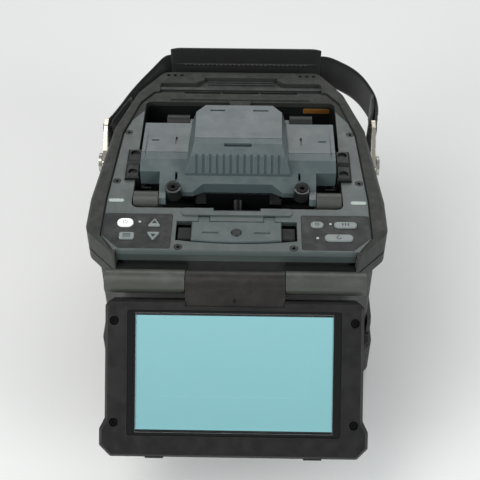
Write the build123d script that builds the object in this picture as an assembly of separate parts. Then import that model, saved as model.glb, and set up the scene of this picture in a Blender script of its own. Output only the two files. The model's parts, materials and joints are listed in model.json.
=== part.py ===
"""Portable fusion splicer for optical fibre: a rubber-framed box with a two-half wind cover over the
splice bay, a sleeve heater and two keypads in its deck, a tilting monitor at its front, a battery that
slides out of its left side and a carrying strap that swings up over it.

Frame, in millimetres: +X to the operator's right, +Y away from the operator, +Z up. The origin is the
mouth of the tripod socket in the middle of the base, level with the soles of the feet.
"""

import math
import os

from build123d import *

# ---------------------------------------------------------------- driving dimensions
# body
body_width = 170.0  # over the rubber frame
body_depth = 173.0
deck_height = 126.0  # top face of the deck above the table
foot_height = 3.0
foot_radius = 6.5
seam_height = 62.0  # where the base tray meets the side casing
wall = 2.5
deck_thick = 3.0
bumper_thick = 5.0  # rubber outside the casing
bumper_height = 24.0
bumper_proud = 1.0  # rubber above the deck
gap = 0.3  # clearance between pieces that come apart or move
running = 0.05  # radial clearance of a pin in its bearing

# splice bay and wind cover
bay_half_width = 61.0
bay_front = -47.8
bay_rear = 53.0
bay_depth = 42.0
axis_y = -11.0  # the fibre line, along X
fibre_above_deck = 1.5
wing_half_width = 57.5
wing_rise = 11.0
hood_half_width = 28.0
hood_rise = 22.0
cover_wall = 2.0
cover_front = -36.0
cover_rear = 27.5
hood_front = cover_front + 9.0
cover_pin_radius = 2.0
barrel_radius = 5.5
barrel_length = 14.0

# heater
heater_half_width = 34.0
heater_rear = -58.5
heater_front = -76.5
lid_half_width = 25.3
lid_length = 16.2
lid_thick = 2.4
lid_pin_radius = 0.8

# keypads
keypad_inner_x = 36.5
keypad_outer_x = 75.0
keypad_front = -80.6
keypad_rear = -53.0
keypad_corner = 10.0
panel_thick = 2.0
button_travel = 1.0
button_proud = 0.8

# monitor
monitor_width = 140.0
monitor_height = 85.6
monitor_thick = 15.0
monitor_drop = 9.6  # hinge axis to the top edge of the monitor
bezel_thick = 6.0
screen_width = 108.0
screen_height = 60.4
screen_top = 9.4  # top edge of the monitor to the picture
hinge_radius = 6.5
hinge_pin_radius = 2.5
hinge_half_length = 71.0
arm_half_width = 27.0
hinge_forward = 9.5  # hinge axis in front of the rubber frame
hinge_below_deck = 10.0
monitor_lean = 43.0  # degrees from hanging straight down

# battery
battery_width = 67.0
battery_height = 34.0
battery_length = 88.0
battery_bottom = 9.0

# strap
strap_height = 25.0
strap_thick = 2.2
pad_thick = 7.0
anchor_y = 8.0
anchor_below_deck = 14.0
anchor_radius = 3.5
ring_reach = 22.0
ring_thick = 2.4
left_tilt = 2.5  # degrees above level, from the anchor to the pad
right_tilt = 8.0
pad_tilt = 6.0
pad_height = 37.0

# fan and tripod socket
fan_size = 36.0
fan_thick = 10.0
tripod_radius = 2.6  # minor radius of a 1/4-20 thread
tripod_depth = 10.0

# ---------------------------------------------------------------- derived places
half_w = body_width / 2
half_d = body_depth / 2
deck_z = deck_height
deck_under = deck_z - deck_thick
deck_front = -half_d + 4.0
casing_top = deck_under
axis_z = deck_z + fibre_above_deck
bumper_top = deck_z + bumper_proud
hinge_y = -half_d - hinge_forward
hinge_z = deck_z - hinge_below_deck
anchor_z = deck_z - anchor_below_deck
cover_axis_z = deck_z - 2.0
front_axis_y = cover_front - 3.5
rear_axis_y = cover_rear + 5.5
front_barrel_x = wing_half_width - barrel_length + 2.5
rear_barrel_x = hood_half_width + 3.5
lid_axis_y = heater_rear + 2.0
lid_axis_z = deck_z - 1.5
tub_floor = deck_z - bay_depth + 2.0

parts = {}
body_screws = []
lamps = []
drives = []
hinge_pins = []
connectors = []
boards = []


# ---------------------------------------------------------------- shape helpers
def block(x0, x1, y0, y1, z0, z1):
    """Box between two corners."""
    return Pos((x0 + x1) / 2, (y0 + y1) / 2, (z0 + z1) / 2) * Box(x1 - x0, y1 - y0, z1 - z0)


def rod(start, end, radius):
    """Round bar from one point to another."""
    way = Vector(*end) - Vector(*start)
    place = Plane(origin=start, z_dir=way)
    return extrude(place * Circle(radius), way.length)


def tube(start, end, outer, inner):
    """Round bar with a bore along it."""
    return rod(start, end, outer) - rod(start, end, inner)


def polygon(points, radius=0.0):
    """Flat face of an outline, with every corner rounded."""
    face = make_face(Polyline(*points, close=True))
    return fillet(face.vertices(), radius) if radius else face


def prism(points, z0, z1, radius=0.0):
    """Outline in plan, raised from z0 to z1."""
    return Pos(0, 0, z0) * extrude(polygon(points, radius), z1 - z0)


def side_prism(points, x0, x1, radius=0.0):
    """Outline of (y, z) points, run along X from x0 to x1."""
    return Pos(x0, 0, 0) * extrude(Plane.YZ * polygon(points, radius), x1 - x0)


def rounded_block(x0, x1, y0, y1, z0, z1, radius):
    """Box whose upright edges are rounded."""
    return prism([(x0, y0), (x1, y0), (x1, y1), (x0, y1)], z0, z1, radius)


def both_sides(shape):
    """The shape and its mirror image in X."""
    return [shape, mirror(shape, about=Plane.YZ)]


def mirrored_outline(right_side):
    """Closed outline from the points of its right side, front to rear."""
    return right_side + [(-x, y) for x, y in reversed(right_side)]


def inset(points, distance):
    """Convex outline moved inwards by a distance, edge by edge."""
    moved = []
    count = len(points)
    edges = []
    for i in range(count):
        (x0, y0), (x1, y1) = points[i], points[(i + 1) % count]
        length = math.hypot(x1 - x0, y1 - y0)
        nx, ny = -(y1 - y0) / length, (x1 - x0) / length
        edges.append((nx, ny, nx * x0 + ny * y0 + distance))
    for i in range(count):
        (a, b, c), (d, e, f) = edges[i - 1], edges[i]
        turn = a * e - b * d
        moved.append(((c * e - b * f) / turn, (a * f - c * d) / turn))
    return moved


def keep(node, *shapes):
    """Stores a node's separate solids."""
    solids = []
    for shape in shapes:
        solids.extend(shape.solids())
    parts[node] = solids


# ---------------------------------------------------------------- plan outlines
frame_outline = mirrored_outline(
    [
        (half_w - 19.0, -half_d),
        (half_w, -half_d + 20.5),
        (half_w, -half_d + 46.0),
        (half_w - 6.5, -half_d + 112.0),
        (half_w - 18.0, -half_d + 150.0),
        (half_w - 33.0, half_d),
    ]
)
deck_outline = mirrored_outline(
    [
        (half_w - 17.0, deck_front),
        (half_w - 9.0, deck_front + 11.0),
        (half_w - 9.0, -half_d + 46.0),
        (half_w - 12.5, -half_d + 106.0),
        (half_w - 21.0, -half_d + 138.0),
        (half_w - 29.0, half_d - 23.5),
    ]
)
casing_outline = inset(frame_outline, bumper_thick)
lining_outline = inset(frame_outline, bumper_thick + wall)
corner_round = 7.0


def side_at(y):
    """Half width of the rubber frame's outline at a place along Y."""
    right = frame_outline[: len(frame_outline) // 2]
    for (x0, y0), (x1, y1) in zip(right, right[1:]):
        if y0 <= y <= y1:
            return x0 + (x1 - x0) * (y - y0) / (y1 - y0)
    return right[-1][0]


casing_side = half_w - bumper_thick
casing_front = -half_d + bumper_thick
casing_rear = half_d - bumper_thick


# ---------------------------------------------------------------- base tray and what stands it up
def make_base():
    floor_top = foot_height + wall
    shell = prism(casing_outline, foot_height, seam_height, corner_round)
    shell -= prism(lining_outline, floor_top, seam_height, corner_round - wall)

    # cradle that the battery slides in
    cradle_end = -casing_side + battery_length + 1.0
    half_slot = battery_width / 2 + gap
    slot_top = battery_bottom + battery_height + gap
    slot_bottom = battery_bottom - gap
    cradle = block(
        -casing_side, cradle_end + wall, -half_slot - wall, half_slot + wall, foot_height, slot_top + wall
    )
    cradle &= prism(casing_outline, foot_height, seam_height, corner_round)
    shell += cradle
    shell -= block(-half_w, cradle_end, -half_slot, half_slot, slot_bottom, slot_top)
    # window for the terminals at the back of the cradle
    shell -= block(
        cradle_end - 1.0,
        cradle_end + wall + 1.0,
        -terminal_half_width,
        terminal_half_width,
        terminal_z - terminal_half_height,
        terminal_z + terminal_half_height,
    )

    # tripod boss
    shell += rod((0, 0, 0), (0, 0, slot_bottom), 9.0)
    shell -= rod((0, 0, -1), (0, 0, tripod_depth), 5.0)
    keep("tripod_socket", tube((0, 0, 0), (0, 0, slot_bottom - 0.5), 5.0, tripod_radius))

    # pillars that the casing screws run up
    for x, y in casing_screw_places:
        shell += rod((x, y, floor_top), (x, y, seam_height), 4.5)
        shell -= rod((x, y, foot_height - 1), (x, y, seam_height + 1), 1.6)
        shell -= rod((x, y, foot_height - 1), (x, y, foot_height + 2.0), 3.2)

    # holes for the sockets in the right side
    shell -= block(
        casing_side - wall - 1, casing_side + 1, usb_y - 4.8, usb_y + 4.8, port_z - 2.8, port_z + 2.8
    )
    shell -= rod(
        (casing_side - wall - 1, jack_y, port_z), (casing_side + 1, jack_y, port_z), jack_radius
    )

    # air slots low in the right side
    for i in range(5):
        y = -4.0 + i * 7.0
        shell -= block(half_w - 25, half_w, y, y + 3.0, 14.0, 30.0)

    # ears and pin that the socket door turns on
    shell += rod(
        (door_hinge_x, door_y0 + 0.5, door_hinge_z), (door_hinge_x, door_y1 - 0.5, door_hinge_z), 0.6
    )
    for y in (door_y0 + 0.5, (door_y0 + door_y1) / 2 - 1.0, door_y1 - 2.5):
        shell += block(
            casing_side - 1.0, door_hinge_x + 0.6, y, y + 2.0, door_hinge_z - 0.9, door_hinge_z + 0.9
        )
    keep("base_tray", shell)

    feet = []
    for x, y in foot_places:
        feet.append(rod((x, y, 0), (x, y, foot_height), foot_radius))
    keep("rubber_feet", *feet)

    screws = []
    for x, y in casing_screw_places:
        head = rod((x, y, foot_height + 0.1), (x, y, foot_height + 2.0), 2.9)
        head -= block(x - 2.0, x + 2.0, y - 0.35, y + 0.35, foot_height, foot_height + 0.9)
        shank = rod((x, y, foot_height + 2.0), (x, y, seam_height + 10.0), 1.6)
        screws.append(head + shank)
    body_screws.extend(screws)


terminal_half_width = 18.0
terminal_half_height = 5.0
terminal_z = battery_bottom + battery_height / 2
usb_y = -59.0
jack_y = -47.0
port_z = 44.0
jack_radius = 5.0
door_y0 = usb_y - 7.5
door_y1 = jack_y + 7.5
door_low = port_z - 8.0
door_hinge_x = casing_side + 1.9
door_hinge_z = door_low
foot_places = [(sx * (half_w - 26.0), -half_d + 24.0) for sx in (-1, 1)]
foot_places += [(sx * (half_w - 38.0), half_d - 20.5) for sx in (-1, 1)]
casing_screw_places = [
    (-half_w + 11.5, -half_d + 34.0),
    (half_w - 11.5, -half_d + 57.0),
    (-half_w + 27.0, half_d - 27.0),
    (half_w - 27.0, half_d - 27.0),
]


# ---------------------------------------------------------------- side casing
def make_side_casing():
    shell = prism(casing_outline, seam_height, casing_top, corner_round)
    shell -= prism(lining_outline, seam_height, casing_top, corner_round - wall)
    # ledge that the deck rests on
    ledge = prism(casing_outline, casing_top - 4.0, casing_top, corner_round)
    ledge -= prism(inset(frame_outline, bumper_thick + 8.5), casing_top - 4.0, casing_top, 2.0)
    shell += ledge
    # posts for the casing screws and the deck screws
    for x, y in casing_screw_places:
        shell += rod((x, y, seam_height), (x, y, seam_height + 12.0), 4.5)
        shell -= rod((x, y, seam_height - 1), (x, y, seam_height + 10.5), 1.6)
    for x, y in deck_screw_places:
        shell += rod((x, y, casing_top - 10.0), (x, y, casing_top), 3.4) & prism(
            inset(frame_outline, bumper_thick + 0.5), casing_top - 10.0, casing_top
        )
        shell -= rod((x, y, casing_top - 8.0), (x, y, casing_top + 1), 1.2)
    # the bay, the heater and the keypads hang down past the ledge
    inside = prism(inset(frame_outline, bumper_thick + wall), casing_top - 13.0, casing_top + 1)
    shell -= rounded_block(
        -tub_half_width - gap, tub_half_width + gap, tub_front - gap, tub_rear + gap,
        casing_top - 5.0, casing_top + 1, 2.0,
    )
    shell -= block(
        -pan_half_width - gap, pan_half_width + gap, pan_front - gap, pan_rear + gap,
        casing_top - 13.0, casing_top + 1,
    )
    for side in both_sides(
        block(
            keypad_inner_x - 1.0, keypad_outer_x - panel_ledge + gap, keypad_front + panel_ledge - gap,
            keypad_rear + 1.0, casing_top - 5.0, casing_top + 1,
        )
    ):
        shell -= side & inside
    # fan grille in the rear wall
    for i in range(6):
        z = fan_z - 12.5 + i * 5.0
        half = math.sqrt((fan_size / 2 - 2.0) ** 2 - (z - fan_z) ** 2)
        shell -= block(-half, half, casing_rear - wall - 1, casing_rear + 1, z - 1.3, z + 1.3)
    # holes for the strap posts
    for side in both_sides(rod((0, anchor_y, anchor_z), (half_w, anchor_y, anchor_z), anchor_radius)):
        shell -= side
    keep("side_casing", shell)


deck_screw_places = [
    (sx * x, y)
    for sx in (-1, 1)
    for x, y in (
        (32.0 * half_w / 85.0, deck_front + 3.2), (half_w - 13.5, -25.0), (half_w - 16.0, 21.0)
    )
]
tub_half_width = bay_half_width + 2.0
tub_front = bay_front - 2.0
tub_rear = bay_rear + 2.0
pan_half_width = heater_half_width + 1.5
pan_front = heater_front - 1.2
pan_rear = heater_rear + 1.5
panel_ledge = 2.5
fan_z = 84.0


# ---------------------------------------------------------------- deck
def keypad_outline(grow=0.0):
    """Right keypad's outline: a rectangle with its outer front corner cut off."""
    return inset(
        [
            (keypad_inner_x, keypad_front),
            (keypad_outer_x - keypad_corner, keypad_front),
            (keypad_outer_x, keypad_front + keypad_corner),
            (keypad_outer_x, keypad_rear),
            (keypad_inner_x, keypad_rear),
        ],
        -grow,
    )


def heater_recess(clear=0.0):
    """Plan of the heater's recess: straight at the rear, bowed at the front."""
    w, bow = heater_half_width + clear, 2.6
    line = Polyline(
        (-w, heater_front + bow), (-w, heater_rear), (w, heater_rear), (w, heater_front + bow)
    )
    arc = ThreePointArc(
        (w, heater_front + bow), (0, heater_front), (-w, heater_front + bow)
    )
    return make_face([line, arc])


def bar_region():
    """Space that the bar behind the bay is cut from."""
    points = mirrored_outline(
        [(bay_half_width - 1.0, bar_split_y), (half_w, bar_slant_y), (half_w, half_d)]
    )
    return prism(points, 0, deck_z + 20)


def make_deck():
    deck = prism(deck_outline, deck_under, deck_z, 3.0)
    deck = chamfer(deck.faces().sort_by(Axis.Z)[-1].outer_wire().edges(), 0.8)
    # apron below the front edge
    apron_half = half_w - 19.0
    deck += side_prism(
        [
            (deck_front, deck_z - 1.0),
            (deck_front - 0.6, deck_z - 2.2),
            (deck_front - 0.6, deck_z - 7.0),
            (casing_front - gap, deck_z - 7.0),
            (casing_front - gap, deck_z - 1.0),
        ],
        -apron_half,
        apron_half,
    )
    # splice bay opening, with notches for the fibre guides
    deck -= rounded_block(
        -bay_half_width, bay_half_width, bay_front, bay_rear, deck_under - 8, deck_z + 1, 4.0
    )
    for side in both_sides(
        rounded_block(
            guide_inner_x - gap, guide_outer_x + gap, axis_y - guide_half_length - gap,
            axis_y + guide_half_length + gap, deck_under - 8, deck_z + 1, 0.3,
        )
    ):
        deck -= side
    # raised strip between the heater and the bay
    deck += rounded_block(-31.5, 31.5, lid_axis_y + 2.3, bay_front - 0.6, deck_under, deck_z + 0.8, 2.0)
    # finger notch at the front of the bay, for lifting the wind cover
    deck -= side_prism(
        [
            (bay_front + 1, deck_z + 1),
            (bay_front - 3.2, deck_z + 1),
            (bay_front - 3.2, deck_z - 1.6),
            (bay_front + 1, deck_z - 1.6),
        ],
        -13.5,
        13.5,
    )
    # heater recess and the notches of its lid's knuckles
    deck -= Pos(0, 0, deck_under - 1) * extrude(heater_recess(), deck_thick + 2)
    for side in both_sides(
        block(
            knuckle_x - knuckle_half - gap, knuckle_x + knuckle_half + gap, heater_rear - 1,
            lid_axis_y + 2.4, deck_under - 1, deck_z + 1,
        )
    ):
        deck -= side
    for side in both_sides(
        rod(
            (knuckle_x - 6.5, lid_axis_y, lid_axis_z),
            (knuckle_x + 6.5, lid_axis_y, lid_axis_z),
            lid_pin_radius,
        )
    ):
        deck -= side
    # keypad pockets: a seat for the panel and an opening below it
    for side in both_sides(prism(keypad_outline(0.15), deck_z - panel_thick, deck_z + 1, 1.5)):
        deck -= side
    for side in both_sides(prism(keypad_outline(-panel_ledge), deck_under - 1, deck_z, 1.0)):
        deck -= side
    # screw seats
    for x, y in deck_screw_places:
        deck -= rod((x, y, deck_z - 1.4), (x, y, deck_z + 1), 2.4)
        deck -= rod((x, y, deck_under - 1), (x, y, deck_z), 1.4)
    # windows of the status lamps
    for side in both_sides(lamp_window(0.0)):
        deck -= side
    # raised tab in the middle of the rear bar
    deck += prism(
        [(-7.5, bay_rear), (7.5, bay_rear), (5.5, bay_rear - 4.5), (-5.5, bay_rear - 4.5)][::-1],
        deck_under, deck_z + 1.2, 0.8,
    )
    # raised lip round the rear of the deck, over the bar
    deck += block(-half_w + 40, half_w - 40, bay_rear + 2.0, bay_rear + 4.2, deck_z, deck_z + 0.8)
    # the bar behind the bay is a piece of its own, joined to the deck on a slant at each rear corner
    bar_zone = bar_region()
    keep("rear_bar", deck & bar_zone)
    deck -= bar_zone
    keep("deck_cover", deck)

    for x, y in deck_screw_places:
        head = rod((x, y, deck_z - 1.4), (x, y, deck_z - 0.1), 2.1)
        head -= Pos(x, y, deck_z - 0.9) * extrude(RegularPolygon(1.1, 6), 2)
        body_screws.append(head + rod((x, y, casing_top - 7.0), (x, y, deck_z - 1.4), 1.2))
    lamps.extend(both_sides(lamp_window(0.0) & block(0, half_w, -half_d, half_d, 0, deck_z + 0.2)))


guide_inner_x = wing_half_width + 0.8
guide_outer_x = 67.0 * half_w / 85.0
guide_half_length = 13.0
knuckle_x = 18.5
knuckle_half = 3.0
bar_split_y = 45.0
bar_slant_y = 8.0
lamp_x = half_w - 15.0
lamp_y = -42.0


def lamp_window(grow):
    """Bar-shaped light window in the right rail of the deck."""
    return rounded_block(
        lamp_x - 4.5 - grow, lamp_x + 4.5 + grow, lamp_y - 1.3 - grow, lamp_y + 1.3 + grow,
        deck_under, deck_z + 1, 1.2,
    )


# ---------------------------------------------------------------- rubber frame and corner boots
def vent_outline(grow):
    """Plan of the vent cover: wide behind the deck, stepped in towards the rear."""
    wide, narrow = vent_half_width + grow, vent_step_half + grow
    step = vent_front + 9.3 + grow
    return [
        (-wide, vent_front - grow), (wide, vent_front - grow), (wide, step - 1.5), (wide - 1.5, step),
        (narrow + 5.0, step), (narrow, step + 4.0), (narrow, vent_rear + grow), (
            -narrow, vent_rear + grow
        ),
        (-narrow, step + 4.0), (-narrow - 5.0, step), (-wide + 1.5, step), (-wide, step - 1.5),
    ]


def make_rubber():
    low = deck_z - bumper_height
    frame = prism(frame_outline, low, bumper_top, corner_round + 2)
    edges = frame.edges().group_by(Axis.Z)
    frame = chamfer(edges[-1] + edges[0], 1.8)
    frame -= prism(inset(casing_outline, -0.1), low - 1, casing_top + 0.1, corner_round)
    frame -= prism(inset(deck_outline, -gap), deck_under - 1, bumper_top + 1, 3.2)
    # open at the front, where the monitor hangs
    open_half = half_w - 18.5
    frame -= block(-open_half, open_half, -half_d - 1, casing_front + 4.0, low - 1, bumper_top + 1)
    # seat of the vent cover behind the deck
    frame -= prism(vent_outline(0.1), deck_under - 1, bumper_top + 1)
    # three small blind holes in the top of each rear shoulder
    for i in range(3):
        for side in both_sides(
            rod(
                (slot_x + i * 4.4, half_d - 5.2, bumper_top - 2.6),
                (slot_x + i * 4.4, half_d - 5.2, bumper_top + 1),
                1.3,
            )
        ):
            frame -= side
    # grooves along the sides
    side_groove = prism(inset(frame_outline, -1.0), low + 9.0, low + 10.6) - prism(
        inset(frame_outline, 0.9), low + 8.0, low + 12.0
    )
    frame -= side_groove
    # round openings for the strap posts
    for side in both_sides(rod((0, anchor_y, anchor_z), (half_w + 1, anchor_y, anchor_z), 8.0)):
        frame -= side
    keep("rubber_frame", frame)

    boot_ring = prism(frame_outline, 2.0, 30.0, corner_round + 2)
    boot_edges = boot_ring.edges().group_by(Axis.Z)
    boot_ring = chamfer(boot_edges[-1] + boot_edges[0], 1.8)
    boot_ring -= prism(inset(casing_outline, -0.1), 1.0, 31.0, corner_round)
    front_boot = boot_ring & block(half_w - 22.0, half_w, -half_d, -half_d + 34.0, 0, 40)
    rear_boot = boot_ring & block(half_w - 36.0, half_w, half_d - 40.0, half_d, 0, 40)
    keep("corner_boots", *both_sides(front_boot), *both_sides(rear_boot))

    cover = prism(vent_outline(0.0), casing_top, casing_top + 1.6)
    cover += block(
        -vent_half_width, vent_half_width, vent_front + 3.4, vent_front + 6.2, casing_top, deck_z - 0.2
    )
    for i in range(2):
        y = vent_front + 10.2 + i * 2.2
        cover += block(
            -vent_step_half + 2.0, vent_step_half - 2.0, y, y + 1.0, casing_top, casing_top + 2.4
        )
    for x in (-37.0, -12.0, 13.0):
        cover -= block(x, x + 24.0, vent_front + 0.9, vent_front + 2.6, casing_top - 1, deck_z)
    keep("vent_cover", cover)


vent_half_width = 53.0
vent_step_half = 24.0
vent_front = half_d - 23.5 + gap
vent_rear = casing_rear - wall - 0.3
slot_x = 39.5 * half_w / 85.0


# ---------------------------------------------------------------- bay, splice block and optics
def make_bay():
    tub = rounded_block(
        -tub_half_width, tub_half_width, tub_front, tub_rear, tub_floor - 2.0, deck_under, 6.0
    )
    tub -= rounded_block(
        -bay_half_width, bay_half_width, bay_front, bay_rear, tub_floor, deck_under + 1, 4.0
    )
    # the guides reach in over the tub's side walls
    for side in both_sides(
        block(
            guide_inner_x - gap, guide_outer_x, axis_y - guide_half_length - gap,
            axis_y + guide_half_length + gap, guide_bottom, deck_under + 1,
        )
    ):
        tub -= side
    # shelf at the rear, under the opened cover
    tub += block(
        -bay_half_width, bay_half_width, bay_rear - 9.0, bay_rear, deck_z - 22.0, deck_z - 19.0
    )
    # holes for the ends of the stage rails
    for dy in (-rail_spread, rail_spread):
        tub -= rod(
            (-tub_half_width - 1, axis_y + dy, rail_z),
            (tub_half_width + 1, axis_y + dy, rail_z),
            rail_radius,
        )
    keep("bay_tub", tub)

    guides = block(
        guide_inner_x, guide_outer_x, axis_y - guide_half_length, axis_y + guide_half_length,
        guide_bottom, deck_z + 2.6,
    )
    guides = chamfer(guides.faces().sort_by(Axis.Z)[-1].edges(), 1.0)
    groove = side_prism(
        [(axis_y, axis_z - 0.3), (axis_y + 4.2, deck_z + 4.0), (axis_y - 4.2, deck_z + 4.0)],
        guide_inner_x - 1, guide_outer_x + 1,
    )
    guides -= groove
    for dy in (-8.5, 8.5):
        guides -= rod((guide_x, axis_y + dy, deck_z + 1.4), (guide_x, axis_y + dy, deck_z + 3), 2.7)
    keep("fibre_guides", *both_sides(guides))

    # drive barrels of the wind cover, on brackets from the tub
    front = tube(
        (front_barrel_x, front_axis_y, cover_axis_z),
        (front_barrel_x + barrel_length, front_axis_y, cover_axis_z),
        barrel_radius,
        cover_pin_radius + running,
    )
    front += block(
        front_barrel_x + 1.0, front_barrel_x + barrel_length - 3.4, bay_front, front_axis_y,
        cover_axis_z - barrel_radius - 3.0, cover_axis_z - 3.0,
    ) - rod(
        (0, front_axis_y, cover_axis_z), (half_w, front_axis_y, cover_axis_z), cover_pin_radius + running
    )
    rear = tube(
        (rear_barrel_x, rear_axis_y, cover_axis_z),
        (rear_barrel_x + barrel_length, rear_axis_y, cover_axis_z),
        barrel_radius,
        cover_pin_radius + running,
    )
    rear += block(
        rear_barrel_x + 1.0, rear_barrel_x + barrel_length - 1.0, rear_axis_y, bay_rear - 9.0,
        cover_axis_z - barrel_radius - 1.0, cover_axis_z - 3.0,
    ) - rod(
        (0, rear_axis_y, cover_axis_z), (half_w, rear_axis_y, cover_axis_z), cover_pin_radius + running
    )
    rear += block(
        rear_barrel_x + 1.0, rear_barrel_x + barrel_length - 1.0, bay_rear - 12.0, bay_rear - 9.0,
        tub_floor, cover_axis_z - 3.0,
    )
    drives.extend(both_sides(front) + both_sides(rear))


guide_x = (guide_inner_x + guide_outer_x) / 2
guide_bottom = deck_under - 4.0
rail_radius = 1.8
rail_spread = 7.5
block_half_width = 19.0
block_top = axis_z - 6.0
rail_z = block_top - 6.5
lens_radius = 4.0
lens_start = 13.0
lens_length = 22.0
camera_thick = 5.0


def along_view(sign, distance):
    """Point on the viewing line of one microscope, at 45 degrees below the fibre line."""
    step = distance / math.sqrt(2)
    return (0, axis_y + sign * step, axis_z - step)


def make_splice_block():
    body = side_prism(
        [
            (axis_y - 19.0, block_top),
            (axis_y - 11.0, tub_floor),
            (axis_y + 11.0, tub_floor),
            (axis_y + 19.0, block_top),
        ],
        -block_half_width,
        block_half_width,
    )
    # gap for the arc, and the microscope bores
    body -= block(-2.4, 2.4, axis_y - 8.0, axis_y + 8.0, block_top - 9.0, block_top + 1)
    for sign in (-1, 1):
        body -= rod(along_view(sign, 0), along_view(sign, lens_start + lens_length + 8), lens_radius)
    for dy in (-rail_spread, rail_spread):
        for sx in (-1, 1):
            body -= rod(
                (sx * (block_half_width - 7.0), axis_y + dy, rail_z),
                (sx * (block_half_width + 1.0), axis_y + dy, rail_z),
                rail_radius,
            )
    keep("splice_block", body)

    grooves = block(3.0, 11.0, axis_y - 6.0, axis_y + 6.0, block_top, axis_z + 0.1)
    ribbon = 12
    pitch = 0.25
    for i in range(ribbon):
        y = axis_y + (i - (ribbon - 1) / 2) * pitch
        grooves -= side_prism(
            [(y, axis_z - 0.1), (y + 0.1, axis_z + 0.2), (y - 0.1, axis_z + 0.2)], 2.0, 12.0
        )
    keep("v_groove_blocks", *both_sides(grooves))

    microscopes = []
    for sign in (-1, 1):
        front, back = along_view(sign, lens_start), along_view(sign, lens_start + lens_length)
        case = along_view(sign, lens_start + lens_length + camera_thick)
        place = Plane(origin=back, z_dir=Vector(*case) - Vector(*back))
        camera = extrude(place * RectangleRounded(12.0, 12.0, 1.0), camera_thick)
        microscopes.append(rod(front, back, lens_radius) + camera)
    keep("microscopes", *microscopes)

    electrodes = []
    clamps = []
    for sign in (-1, 1):
        start = (0, axis_y + sign * 4.0, axis_z)
        shaft = rod(start, (0, axis_y + sign * 18.0, axis_z), 1.0)
        tip = Plane(origin=start, z_dir=(0, -sign, 0)) * Cone(
            1.0, 0.12, 2.6, align=(Align.CENTER, Align.CENTER, Align.MIN)
        )
        electrodes.append(shaft + tip)
        low, high = sorted((axis_y + sign * 9.5, axis_y + sign * 17.0))
        holder = block(-6.0, 6.0, low, high, block_top, axis_z + 1.8)
        holder -= rod((0, low - 1, axis_z), (0, high + 1, axis_z), 1.0)
        middle = (low + high) / 2
        for sx in (-1, 1):
            holder += rod((sx * 4.0, middle, axis_z + 1.8), (sx * 4.0, middle, axis_z + 2.4), 1.6)
        clamps.append(holder)
    keep("electrodes", *electrodes)
    keep("electrode_clamps", *clamps)

    rails = []
    for dy in (-rail_spread, rail_spread):
        for sx in (-1, 1):
            rails.append(
                rod(
                    (sx * (block_half_width - 7.0), axis_y + dy, rail_z),
                    (sx * tub_half_width, axis_y + dy, rail_z),
                    rail_radius,
                )
            )
    keep("stage_rails", *rails)

    for name, sx in (("holder_stage_left", -1), ("holder_stage_right", 1)):
        near, far = sorted((sx * stage_near, sx * stage_far))
        stage = block(near, far, axis_y - 12.0, axis_y + 12.0, rail_z - 4.0, stage_top)
        for dy in (-rail_spread, rail_spread):
            stage -= rod(
                (near - 1, axis_y + dy, rail_z), (far + 1, axis_y + dy, rail_z), rail_radius + running
            )
        # seat for a fibre holder, with its two locating studs
        stage -= block(
            near + 2.0, far - 2.0, axis_y - 9.0, axis_y + 9.0, stage_top - 1.5, stage_top + 1
        )
        for dy in (-6.0, 6.0):
            stage += rod(
                (sx * stage_middle, axis_y + dy, stage_top - 1.5),
                (sx * stage_middle, axis_y + dy, stage_top + 1.0),
                1.2,
            )
        keep(name, stage)

    for sx in (-1, 1):
        motor = rod(
            (sx * (block_half_width + 8.0), axis_y, tub_floor + 8.0),
            (sx * (block_half_width + 28.0), axis_y, tub_floor + 8.0),
            6.0,
        )
        motor += block(
            min(sx * (block_half_width + 12.0), sx * (block_half_width + 24.0)),
            max(sx * (block_half_width + 12.0), sx * (block_half_width + 24.0)),
            axis_y - 5.0, axis_y + 5.0, tub_floor, tub_floor + 5.0,
        )
        motor += rod(
            (sx * block_half_width, axis_y, tub_floor + 8.0),
            (sx * (block_half_width + 8.0), axis_y, tub_floor + 8.0),
            1.5,
        )
        drives.append(motor)


stage_near = block_half_width + 6.0
stage_far = bay_half_width - 9.0
stage_middle = (stage_near + stage_far) / 2
stage_top = block_top + 1.0


# ---------------------------------------------------------------- wind cover
def wing_profile(shrink=0.0):
    """Side view of the wings, as (y, z) points."""
    return [
        (cover_front + 1.0 + shrink, cover_axis_z - 4.0),
        (cover_front + 1.0 + shrink, deck_z + 0.8 - shrink / 2),
        (cover_front + 5.0 + shrink / 2, deck_z + 4.8 - shrink),
        (axis_y - 6.0, deck_z + wing_rise - 0.5 - shrink),
        (axis_y, deck_z + wing_rise - shrink),
        (cover_rear - 9.5 - shrink / 2, deck_z + wing_rise - 1.0 - shrink),
        (cover_rear - shrink, deck_z + 1.0 - shrink / 2),
        (cover_rear - shrink, cover_axis_z - 4.0),
    ]


def hood_profile(shrink=0.0):
    """Side view of the hood, as (y, z) points."""
    return [
        (hood_front + shrink, cover_axis_z - 4.0),
        (hood_front + shrink, deck_z + grip_low - shrink / 2),
        (hood_front + grip_run + shrink / 2, deck_z + grip_high - shrink),
        (axis_y - 4.5, deck_z + hood_rise - 0.4 - shrink),
        (axis_y, deck_z + hood_rise - shrink),
        (cover_rear - 5.5 - shrink / 2, deck_z + hood_rise - 1.0 - shrink),
        (cover_rear - shrink, deck_z + hood_rise - 10.5 - shrink / 2),
        (cover_rear - shrink, cover_axis_z - 4.0),
    ]


def hood_front_view(shrink=0.0):
    """Front view of the hood, as (x, z) points."""
    top, low = hood_half_width - shrink, hood_half_width + 3.4 - shrink
    return [
        (-low, cover_axis_z - 4.0),
        (low, cover_axis_z - 4.0),
        (low, deck_z + 6.0),
        (top, deck_z + hood_rise - 5.5),
        (top - 2.5, deck_z + hood_rise - shrink),
        (-top + 2.5, deck_z + hood_rise - shrink),
        (-top, deck_z + hood_rise - 5.5),
        (-low, deck_z + 6.0),
    ]


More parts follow.
